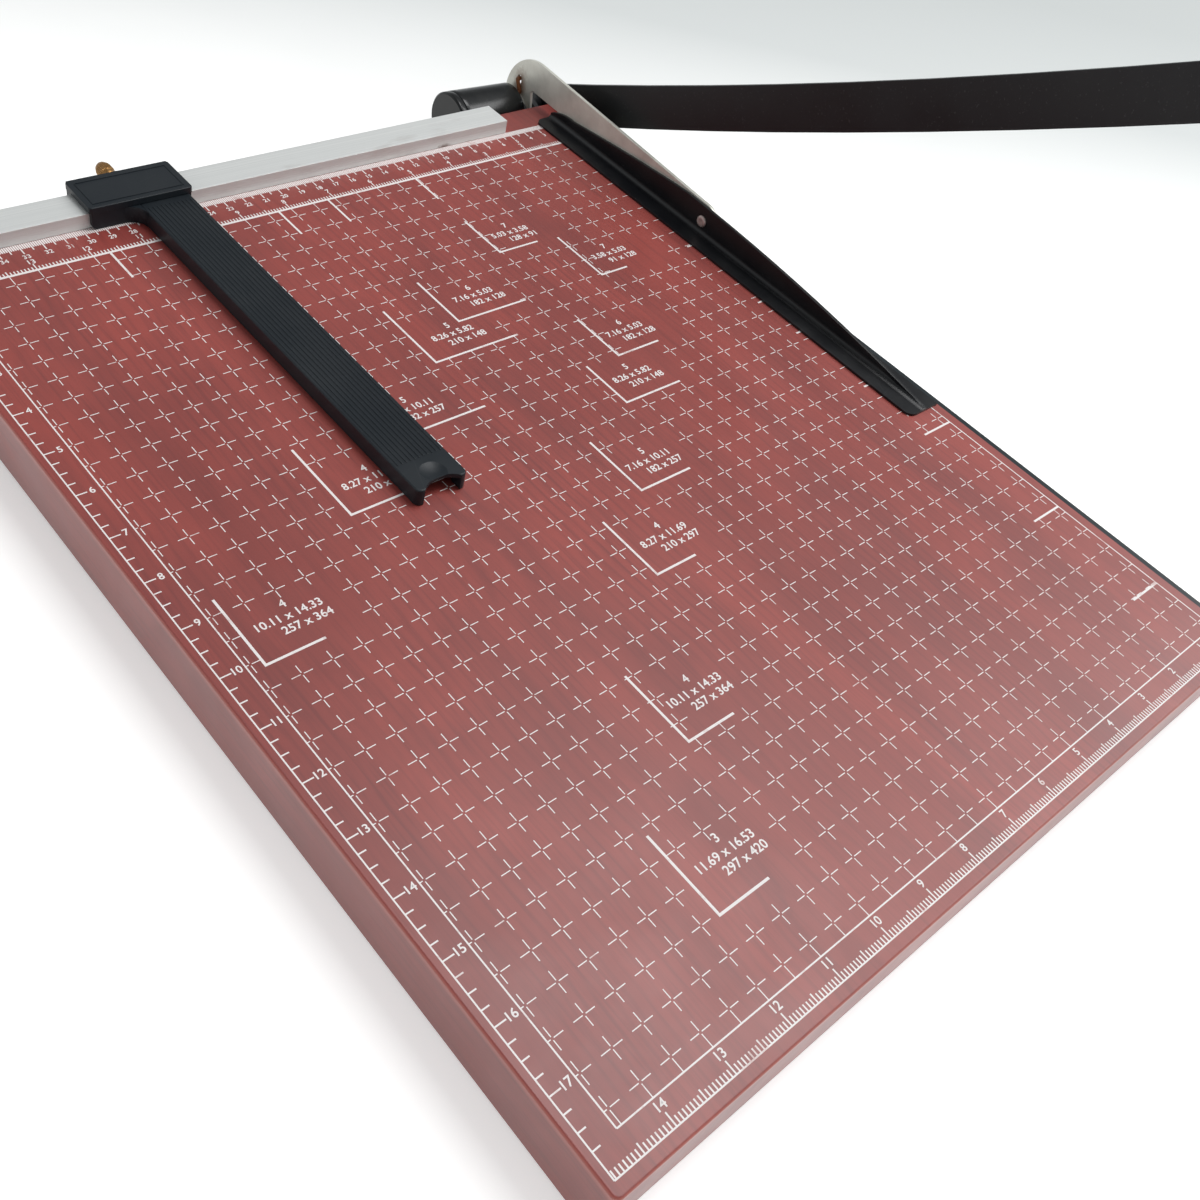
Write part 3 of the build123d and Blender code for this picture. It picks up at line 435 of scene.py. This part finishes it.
# The lower blade: a strip of blackened tool steel let in flush along the board's right edge and held
# by countersunk screws that are driven in from the right.
def blackened_steel(name, base, shine):
    """Oil-blackened steel with hair scratches that show the bare metal."""
    material, tree, shader, place = finish(name, Specular_IOR_Level=0.35)
    wear = use(tree, handling_wear, Vector=place, Gloss=shine, Spread=0.07)
    tone = blended(tree, graded(tree, wear["Smudges"], (0.3, 0.0), (0.7, 1.0)), base,
                   tuple(c * 1.5 for c in base))
    tone = blended(tree, graded(tree, wear["Scratches"], (0.0, 0.0), (1.0, 0.10)), tone, seen(120, 120, 122))
    tree.links.new(tone, shader.inputs["Base Color"])
    tree.links.new(wear["Roughness"], shader.inputs["Roughness"])
    emboss(tree, shader, stretched(tree, place, (1600, 1600, 1600), 2.0), 0.00001)
    return material


dress("lower_blade", blackened_steel("Blackened strip", seen(24, 32, 36), 0.38))


# The screws: turned and blackened, countersunk in the lower blade and the hinge bracket and
# pan-headed under the feet and the rail, all with a cross recess and a rolled thread.
touching = 0.000001


def spun(profile, steps):
    """A skin turned about Z from (radius, height) points, open where they end off the axis."""
    bm = bmesh.new()
    start = [bm.verts.new((radius, 0, height)) for radius, height in profile]
    edges = [bm.edges.new(pair) for pair in zip(start, start[1:])]
    bmesh.ops.spin(bm, geom=start + edges, axis=(0, 0, 1), angle=2 * math.pi, steps=steps, use_merge=True)
    bmesh.ops.remove_doubles(bm, verts=bm.verts, dist=touching)
    return bm


def pointed(direction):
    """The turn that takes Z to a direction."""
    return Vector(direction).to_track_quat("Z", "Y").to_matrix().to_4x4()


def cross_headed(bm, flat, profile, place):
    """Adds a turned screw; flat is the radius of the face that its recess is pressed in."""
    part = spun(profile, 24)
    rim = [e for e in part.edges if e.is_boundary]
    reach, half, depth, taper = flat * 0.86, flat * 0.20, flat * 0.8, 0.5
    corners = [(reach, -half), (reach, half), (half, half)]
    cross = [part.verts.new(Matrix.Rotation(quarter * math.pi / 2, 3, "Z") @ Vector((x, y, profile[0][1])))
             for quarter in range(4) for x, y in corners]
    slot_edges = [part.edges.new((cross[k], cross[(k + 1) % 12])) for k in range(12)]
    bmesh.ops.bridge_loops(part, edges=rim + slot_edges)
    sunk = bmesh.ops.extrude_edge_only(part, edges=slot_edges)["geom"]
    floor_verts = [v for v in sunk if isinstance(v, bmesh.types.BMVert)]
    bmesh.ops.scale(part, verts=floor_verts, vec=(taper, taper, 1))
    bmesh.ops.translate(part, verts=floor_verts, vec=(0, 0, -depth))
    bmesh.ops.holes_fill(part, edges=[e for e in part.edges if e.is_boundary])
    bmesh.ops.recalc_face_normals(part, faces=part.faces)
    bmesh.ops.transform(part, matrix=place, verts=part.verts)
    finished = bpy.data.meshes.new("screw")
    part.to_mesh(finished)
    part.free()
    bm.from_mesh(finished)
    bpy.data.meshes.remove(finished)


def thread(shank, top, tip):
    """The thread's outline from under the head to the point, as (radius, height)."""
    pitch, crest, root, end = shank * 0.55, shank * 0.98, shank * 0.80, shank * 0.75
    turns = int((top - tip - shank) / pitch)
    marks = [(root if k % 2 else crest, top - (k + 1) * pitch / 2) for k in range(turns * 2)]
    return marks + [(end, tip + shank), (0, tip)]


def spread(first, last, count):
    """Evenly spaced places from first to last."""
    return [first + (last - first) * k / max(count - 1, 1) for k in range(count)]


def screws(node, facing, counts, head, shank, length, pan):
    """Puts a turned screw in each place of a CAD node's screws, which face outwards along facing."""
    low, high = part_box(node)
    rows = [[high[k] if facing[k] > 0 else low[k]] if facing[k] else
            spread(low[k] + head, high[k] - head, counts[k]) for k in range(3)]
    if pan:
        outline = [(head * 0.55, 0), (head * 0.86, -0.12 * head), (head * 0.98, -0.36 * head),
                   (head, -0.6 * head), (shank, -0.6 * head)]
    else:
        outline = [(head * 0.62, 0), (head * 0.97, 0), (head, -0.0001), (shank, shank - head)]
    outline += thread(shank, outline[-1][1], -length)
    bm = bmesh.new()
    for x in rows[0]:
        for y in rows[1]:
            for z in rows[2]:
                cross_headed(bm, outline[0][0], outline, Matrix.Translation((x, y, z)) @ pointed(facing))
    piece(node.replace("screws", "turned_screws"), bm, screw_black, "base", True, (node,))


screw_black = blackened_steel("Blackened screw", seen(40, 40, 42), 0.40)
countersunk = {"head": 0.0038, "shank": 0.0020, "length": 0.0218, "pan": False}
pan_headed = {"head": 0.0028, "shank": 0.0016, "pan": True}
screws("lower_blade_screws", (1, 0, 0), (1, 6, 1), **countersunk)
screws("bracket_screws", (0, 1, 0), (2, 1, 2), **countersunk)
screws("foot_screws", (0, 0, -1), (2, 2, 1), length=0.0176, **pan_headed)
screws("rail_screws", (0, 0, -1), (5, 1, 1), length=0.0286, **pan_headed)

# The feet: four pads of moulded black rubber, one under each corner of the board, each held by a
# pan-headed screw through its middle.
material, tree, shader, place = finish("Foot rubber", Roughness=0.75)
tone = stretched(tree, place, (500, 500, 500), 3.0)
tree.links.new(graded(tree, tone, (0.3, seen(22, 22, 22)), (0.7, seen(40, 39, 38))),
               shader.inputs["Base Color"])
emboss(tree, shader, tone, 0.00006)
dress("rubber_feet", material)


# The guide rail: an aluminium extrusion, satin anodised, that is the fence and carries the paper
# stop. Fine die lines run along it, and a spot of rust has stained its foot.
rust_spot = (-0.0943, 0.0016, 0.0)


def rail_metal():
    """Anodised aluminium: die lines along X, a few darker stains and one brown spot."""
    material, tree, shader, place = finish("Anodised rail", Metallic=0.25)
    lines = stretched(tree, place, (3.0, 2600, 2600), 3.0, 0.6)
    stains = stretched(tree, place, (20, 60, 60), 4.0, 0.6)
    tone = graded(tree, lines, (0.3, seen(212, 214, 212)), (0.7, seen(226, 227, 225)))
    tone = blended(tree, graded(tree, stains, (0.58, 0.0), (0.8, 0.5)), tone, seen(164, 156, 150))
    spot = put(tree, "VectorMath", {0: place, 1: rust_spot}, operation="SUBTRACT")
    near = put(tree, "VectorMath", {0: spot.outputs[0], 1: (1.0, 1.0, 2.2)}, operation="MULTIPLY")
    near = put(tree, "VectorMath", {0: near.outputs[0]}, operation="LENGTH")
    ragged = put(tree, "Math", {0: stretched(tree, place, (900, 900, 900), 3.0), 1: 0.005,
                                2: near.outputs["Value"]}, operation="MULTIPLY_ADD")
    rust = graded(tree, ragged.outputs[0], (0.0034, 1.0), (0.0056, 0.0))
    tone = blended(tree, rust, tone, seen(98, 54, 32))
    tree.links.new(tone, shader.inputs["Base Color"])
    tree.links.new(graded(tree, lines, (0.3, 0.36), (0.7, 0.5)), shader.inputs["Roughness"])
    emboss(tree, shader, lines, 0.00002)
    return material


def soften(node, width):
    """Breaks a CAD node's sharp edges so that they catch the light."""
    made = frame["nodes"][node]
    made.modifiers.new("weld", "WELD").merge_threshold = 0.000002
    rounding = made.modifiers.new("edges", "BEVEL")
    rounding.width = width
    rounding.segments = 2
    rounding.limit_method = "ANGLE"
    rounding.angle_limit = math.radians(40)
    rounding.harden_normals = True
    rounding.use_clamp_overlap = True


dress("guide_rail", rail_metal())
soften("guide_rail", 0.00025)


# The hinge behind the board: a black painted bracket with two ears, and on it the zinc-plated bolt,
# nut and washer, the brass bushes and the nylon washers that keep the lift lever off the ears.
def plated(name, bright, dull, gloss, metal=0.9):
    """Plated or turned metal with fine lines along Y and duller patches."""
    material, tree, shader, place = finish(name, Metallic=metal)
    lines = stretched(tree, place, (900, 60, 900), 3.0, 0.6)
    patches = stretched(tree, place, (45, 45, 45), 4.0, 0.6)
    tone = blended(tree, graded(tree, patches, (0.35, 0.0), (0.7, 1.0)), bright, dull)
    tree.links.new(tone, shader.inputs["Base Color"])
    tree.links.new(graded(tree, lines, (0.3, gloss - 0.08), (0.7, gloss + 0.08)), shader.inputs["Roughness"])
    emboss(tree, shader, lines, 0.00001)
    return material


black_paint = blackened_steel("Black paint", seen(30, 31, 33), 0.45)
for name in ("hinge_bracket", "arm_spacer", "spring_seat"):
    dress(name, black_paint)
zinc = plated("Zinc plate", seen(200, 198, 192), seen(168, 164, 158), 0.34)
for name in ("pivot_bolt", "pivot_nut", "outer_washer", "clamp_screw", "spring_sleeve"):
    dress(name, zinc)
brass = plated("Brass", seen(176, 136, 84), seen(126, 88, 48), 0.42, 0.75)
for name in ("arm_bush", "lever_bush", "clamp_insert"):
    dress(name, brass)
material, tree, shader, place = finish("Natural nylon", Roughness=0.5)
tree.links.new(graded(tree, stretched(tree, place, (300, 300, 300)), (0.3, seen(206, 204, 196)),
                      (0.7, seen(226, 224, 216))), shader.inputs["Base Color"])
for name in ("lever_washers", "clamp_pad"):
    dress(name, material)


# The torsion spring: six turns of round wire, rusted all over, one tail held in the slotted seat and
# the other bent out past the ear and hooked through the lift lever. Lifting the guard winds the turns
# up from the hook towards the seat.
pivot = Vector(next(j["pos_m"] for j in frame["record"]["behaviour"]["joints"] if j["name"] == "arm_swing"))
wire_radius = 0.0012
coil_radius = 0.0110
coil_pitch = 0.0043
coil_turns = 6
turn_steps = 28
leave_angle = math.radians(20)
bend = 0.0016
lever_gap, leg_run = 0.0002, 0.0052
hook_angle, hook_radius = math.radians(4.5), 0.0174
low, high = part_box("torsion_spring")
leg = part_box("lift_lever")[0].x - wire_radius - lever_gap
coil_right = leg - leg_run
coil_left = coil_right - coil_turns * coil_pitch


def wire_route():
    """The wire's centre line, from the tail in the seat to the hook in the lever."""
    def around(x, angle, radius=coil_radius):
        return Vector((x, pivot.y + radius * math.sin(angle), pivot.z + radius * math.cos(angle)))
    route = [around(low.x, -leave_angle), around(coil_left - bend, -leave_angle)]
    for step in range(coil_turns * turn_steps + 1):
        route.append(around(coil_left + coil_pitch * step / turn_steps,
                            2 * math.pi * step / turn_steps - leave_angle))
    along = Vector((0, math.cos(leave_angle), math.sin(leave_angle)))
    turn = route[-1] + along * bend
    hook = around(leg, hook_angle, hook_radius)
    corner = Vector((leg, turn.y, turn.z))
    up = (hook - corner).normalized()
    route += [turn, turn + Vector((bend, 0, 0)), corner - Vector((bend / 2, 0, 0)), corner,
              corner + up * bend, hook - up * bend / 2, hook, hook + Vector((bend / 2, 0, 0)),
              Vector((high.x, hook.y, hook.z))]
    return route


def rusty_wire():
    """Round spring wire, brown with rust in lighter and darker patches."""
    material, tree, shader, place = finish("Rusted wire", Metallic=0.3)
    patches = stretched(tree, place, (260, 260, 260), 4.0, 0.7)
    tone = graded(tree, patches, (0.34, seen(74, 58, 48)), (0.50, seen(140, 84, 46)),
                  (0.66, seen(104, 58, 34)))
    tree.links.new(tone, shader.inputs["Base Color"])
    tree.links.new(graded(tree, patches, (0.3, 0.5), (0.7, 0.85)), shader.inputs["Roughness"])
    emboss(tree, shader, stretched(tree, place, (2600, 2600, 2600), 3.0), 0.00005)
    return material


curve = bpy.data.curves.new("spring_wire", "CURVE")
curve.dimensions = "3D"
curve.bevel_depth = wire_radius
curve.bevel_resolution = 3
curve.use_fill_caps = True
curve.resolution_u = 3
spline = curve.splines.new("NURBS")
route = wire_route()
spline.points.add(len(route) - 1)
for point, bent in zip(spline.points, route):
    point.co = (*bent, 1)
spline.order_u = 3
spline.use_endpoint_u = True
holder = bpy.data.objects.new("spring_wire", curve)
bm = bmesh.new()
bm.from_mesh(bpy.data.meshes.new_from_object(holder))
bpy.data.objects.remove(holder)
bmesh.ops.remove_doubles(bm, verts=bm.verts, dist=touching)
spring = piece("spring_wire", bm, rusty_wire(), None, True, ("torsion_spring",))
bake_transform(spring)


# The spring cover: a black moulded plastic tube round the spring, glossy where it isn't dusty, with
# a separate cap that closes its left end.
def moulded(name, base, gloss, relief, haze=0.0):
    """Black plastic or thick paint: fine texture, faint scratches and, with haze, a film of dust."""
    material, tree, shader, place = finish(name, Specular_IOR_Level=0.35)
    wear = use(tree, handling_wear, Vector=place, Gloss=gloss, Spread=0.07)
    tone = blended(tree, graded(tree, wear["Scratches"], (0.0, 0.0), (1.0, 0.07)), base, seen(96, 100, 102))
    tone = blended(tree, graded(tree, wear["Smudges"], (0.40, 0.0), (0.75, haze)), tone, seen(120, 120, 116))
    tree.links.new(tone, shader.inputs["Base Color"])
    tree.links.new(wear["Roughness"], shader.inputs["Roughness"])
    emboss(tree, shader, stretched(tree, place, (2200, 2200, 2200), 2.0), relief)
    return material


cover_plastic = moulded("Cover plastic", seen(9, 11, 13), 0.22, 0.00001, 0.07)
for name in ("spring_cover", "spring_cover_cap"):
    dress(name, cover_plastic)
    soften(name, 0.0004)

# The blade arm: curved steel, blackened, with a cutting edge ground along its lower side and a
# moulded grip pressed on its tang.
dress("blade_arm", blackened_steel("Blackened blade", seen(9, 10, 14), 0.38))
soften("blade_arm", 0.0003)
dress("handle_grip", moulded("Grip plastic", seen(20, 20, 21), 0.4, 0.00003))

# The guard: a clamp bar pressed from sheet steel and painted black, with two flanges on the bed and a
# web whose crest is folded over.
dress("guard_bar", moulded("Guard paint", seen(12, 13, 17), 0.36, 0.00001, 0.05))
soften("guard_bar", 0.00025)


# The lift lever: zinc-plated sheet steel riveted to the guard. It has rusted round its slot, where the
# spring's hook goes through.
lever_slot = (-0.0118, 0.0366, 0.0045)


def lever_metal():
    """Dull zinc over a coarse brushed face, browned near the slot."""
    material, tree, shader, place = finish("Lever zinc")
    lines = stretched(tree, place, (900, 40, 900), 3.0, 0.6)
    patches = stretched(tree, place, (60, 60, 60), 4.0, 0.6)
    dulled = graded(tree, patches, (0.35, 0.0), (0.7, 1.0))
    tone = blended(tree, dulled, seen(226, 226, 216), seen(200, 198, 188))
    slot = put(tree, "VectorMath", {0: place, 1: lever_slot}, operation="SUBTRACT")
    near = put(tree, "VectorMath", {0: slot.outputs[0], 1: (0.0, 1.5, 0.8)}, operation="MULTIPLY")
    near = put(tree, "VectorMath", {0: near.outputs[0]}, operation="LENGTH")
    ragged = put(tree, "Math", {0: stretched(tree, place, (420, 420, 420), 4.0, 0.7), 1: 0.012,
                                2: near.outputs["Value"]}, operation="MULTIPLY_ADD")
    rust = graded(tree, ragged.outputs[0], (0.0080, 0.85), (0.0150, 0.0))
    tone = blended(tree, rust, tone, seen(124, 88, 60))
    tree.links.new(tone, shader.inputs["Base Color"])
    tree.links.new(graded(tree, rust, (0.0, 0.40), (0.8, 0.1)), shader.inputs["Metallic"])
    tree.links.new(graded(tree, lines, (0.3, 0.30), (0.7, 0.44)), shader.inputs["Roughness"])
    emboss(tree, shader, lines, 0.00001)
    return material


dress("lift_lever", lever_metal())
soften("lift_lever", 0.0004)


# The rivet: soft steel with a low set head on each side, dished a little by the setting tool.
def turned(profile, place, steps=32):
    """A piece turned about Z from (radius, height) points, then put in its place."""
    bm = spun(profile, steps)
    bmesh.ops.recalc_face_normals(bm, faces=bm.faces)
    bmesh.ops.transform(bm, matrix=place, verts=bm.verts)
    return bm


low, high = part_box("lever_rivet")
length = high.x - low.x
half_head = [(0.0, 0.00018), (0.0012, 0.00008), (0.0019, 0.0), (0.0027, 0.00022), (0.0031, 0.0007),
             (0.0032, 0.0012), (0.0020, 0.0013)]
profile = half_head + [(radius, length - height) for radius, height in reversed(half_head)]
place = Matrix.Translation((low.x, (low.y + high.y) / 2, (low.z + high.z) / 2)) @ pointed((1, 0, 0))
rivet_metal = plated("Rivet steel", seen(206, 188, 184), seen(176, 158, 152), 0.42, 0.5)
piece("set_rivet", turned(profile, place), rivet_metal, "guard", True, ("lever_rivet",))


# The paper stop: one black moulding, its arm finely ribbed along the top and its cap plate framed
# by a low raised line.
stop_plastic = moulded("Stop plastic", seen(21, 28, 34), 0.46, 0.00002, 0.03)
dress("stop_body", stop_plastic)
soften("stop_body", 0.0006)

low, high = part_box("stop_body")
arm_top, rib_rise, rib_width, rib_pitch = 0.0082, 0.00028, 0.0007, 0.0021
arm_inset, arm_width = 0.0017, 0.0250
rib_front, rib_rear = low.y + 0.0165, -0.0050
arm_middle = high.x - arm_inset - arm_width / 2
bm = bmesh.new()
for rib in range(-5, 6):
    middle = Vector((arm_middle + rib * rib_pitch, (rib_front + rib_rear) / 2, arm_top))
    size = (rib_width, rib_rear - rib_front, 2 * rib_rise, 1)
    bmesh.ops.create_cube(bm, size=1, matrix=Matrix.Translation(middle) @ Matrix.Diagonal(size))
crests = [e for e in bm.edges if all(v.co.z > arm_top for v in e.verts)]
bmesh.ops.bevel(bm, geom=crests, offset=rib_rise * 0.7, affect="EDGES", segments=2, profile=0.5, material=-1)
piece("stop_ribs", bm, stop_plastic, "paper_stop")

frame_inset, frame_line, frame_rise = 0.0030, 0.0006, 0.00022
cap_middle, cap_half_depth = 0.0109, 0.0121
centre = Vector(((low.x + high.x) / 2, cap_middle, high.z - frame_rise))
reach = Vector(((high.x - low.x) / 2 - frame_inset, cap_half_depth - frame_inset))
bm = bmesh.new()
bmesh.ops.create_grid(bm, x_segments=1, y_segments=1, size=1,
                      matrix=Matrix.Translation(centre) @ Matrix.Diagonal((reach.x, reach.y, 1, 1)))
inner = bm.faces[:]
bmesh.ops.inset_individual(bm, faces=inner, thickness=frame_line)
bmesh.ops.delete(bm, geom=inner, context="FACES_ONLY")
risen = bmesh.ops.extrude_face_region(bm, geom=bm.faces[:])["geom"]
crest = [v for v in risen if isinstance(v, bmesh.types.BMVert)]
bmesh.ops.translate(bm, verts=crest, vec=(0, 0, 2 * frame_rise))
bmesh.ops.recalc_face_normals(bm, faces=bm.faces)
piece("stop_frame_line", bm, stop_plastic, "paper_stop")

# The clamp knob: turned brass with a straight knurl round its widest part, on the steel screw that
# presses the nylon pad.
low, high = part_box("clamp_knob")
middle = (low + high) / 2
length = high.y - low.y
ball_share, knurl_steps, knurl_share = 0.88, 56, 0.93
neck, ball = 0.0026, (high.x - low.x) / 2 * ball_share
profile = [(0.0020, 0.0), (neck - 0.0002, 0.0), (neck, 0.0002), (neck, 0.0034), (neck + 0.0004, 0.0040),
           (ball - 0.0006, 0.0054), (ball, 0.0064), (ball, 0.0104), (ball - 0.0004, 0.0112),
           (ball * 0.78, 0.0125), (ball * 0.45, length - 0.0004), (0.0, length)]
knob = turned(profile, Matrix.Identity(4), knurl_steps)
for vert in knob.verts:
    angle = math.atan2(vert.co.y, vert.co.x)
    if vert.co.xy.length > ball - 0.0001 and round(angle / (2 * math.pi) * knurl_steps) % 2:
        vert.co.xy *= knurl_share
place = Matrix.Translation((middle.x, low.y, middle.z)) @ pointed((0, 1, 0))
bmesh.ops.transform(knob, matrix=place, verts=knob.verts)
piece("turned_knob", knob, brass, "clamp_screw", False, ("clamp_knob",))

# The room: a plain floor under the feet, with painted shade that greys it towards the rear and a painted
# glow, seen by the camera and in reflections, that makes it nearly white at the front left; a sky that is
# brightest high on the right, a soft window on the right, a soft lamp overhead and the camera.
to_the_rear, floor_reach = Vector((0.66, 0.75, 0.0)), 40
brightest_sky = Vector((0.46, -0.34, 0.82))
material, tree, shader, place = finish("Pale floor", Roughness=0.6)
tone = graded(tree, stretched(tree, place, (6, 6, 6), 4.0),
              (0.3, seen(240, 240, 238)), (0.7, seen(245, 245, 243)))
back = put(tree, "VectorMath", {0: place, 1: to_the_rear}, operation="DOT_PRODUCT")
# Painted shade: the floor is mixed towards grey as it goes towards the rear.
tone = blended(tree, graded(tree, back.outputs["Value"], (0.0, 0.0), (0.24, 1.0)), tone, seen(190, 194, 193))
tree.links.new(tone, shader.inputs["Base Color"])
# Painted light: the floor glows white for camera and glossy rays, strongest at the front left and fading
# towards the rear right, so it looks brighter and shows brighter in reflections.
paths = put(tree, "LightPath")
sight = put(tree, "Math", {0: paths.outputs["Is Camera Ray"], 1: paths.outputs["Is Glossy Ray"]},
            operation="MAXIMUM")
painted_floor_glow = put(tree, "MapRange", {0: back.outputs["Value"], 1: -0.5, 2: 0.45, 3: 0.46, 4: 0.06})
painted_floor_glow = put(tree, "Math", {0: sight.outputs[0], 1: painted_floor_glow.outputs[0]}, operation="MULTIPLY")
shader.inputs["Emission Color"].default_value = (1, 1, 1, 1)
tree.links.new(painted_floor_glow.outputs[0], shader.inputs["Emission Strength"])
bm = bmesh.new()
bmesh.ops.create_grid(bm, x_segments=1, y_segments=1, size=floor_reach,
                      matrix=Matrix.Translation((0, 0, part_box("rubber_feet")[0].z)))
mesh = bpy.data.meshes.new("floor")
bm.to_mesh(mesh)
bm.free()
mesh.materials.append(material)
floor = bpy.data.objects.new("floor", mesh)
bpy.context.scene.collection.objects.link(floor)

world = bpy.data.worlds.new("Studio")
bpy.context.scene.world = world
world.use_nodes = True
tree = world.node_tree
sky = tree.nodes["Background"]
side = put(tree, "VectorMath", {0: put(tree, "TexCoord").outputs["Generated"], 1: brightest_sky},
           operation="DOT_PRODUCT")
tone = graded(tree, side.outputs["Value"], (0.0, 0.70), (0.30, 0.27), (0.60, 0.25), (0.80, 0.50),
              (0.98, 0.85))
tone = blended(tree, 1.0, tone, (0.95, 0.98, 1.0), "MULTIPLY")
sight = put(tree, "LightPath").outputs["Is Camera Ray"]
tree.links.new(blended(tree, sight, tone, (0.80, 0.81, 0.82)), sky.inputs[0])


def lamp(name, power, size, place, target):
    """A soft square lamp that looks at a point."""
    light = bpy.data.lights.new(name, "AREA")
    light.energy = power
    light.size = size
    holder = bpy.data.objects.new(name, light)
    holder.location = place
    holder.rotation_euler = (Vector(target) - Vector(place)).to_track_quat("-Z", "Y").to_euler()
    bpy.context.scene.collection.objects.link(holder)


lamp("window", 13.0, 0.9, (1.15, -0.72, 1.2), (-0.2, -0.3, 0))
lamp("ceiling", 15.0, 0.8, (0.42, -0.16, 1.85), (-0.2, -0.2, 0))

camera = bpy.data.cameras.new("camera")
camera.lens = 38.806
camera.sensor_width = 36.0
camera.clip_start = 0.01
holder = bpy.data.objects.new("camera", camera)
holder.location = (-0.5228, -0.49951, 0.36164)
holder.rotation_euler = Euler((math.radians(42.631), math.radians(-12.026), math.radians(-41.416)))
bpy.context.scene.collection.objects.link(holder)
bpy.context.scene.camera = holder
bpy.context.scene.view_settings.view_transform = "Standard"
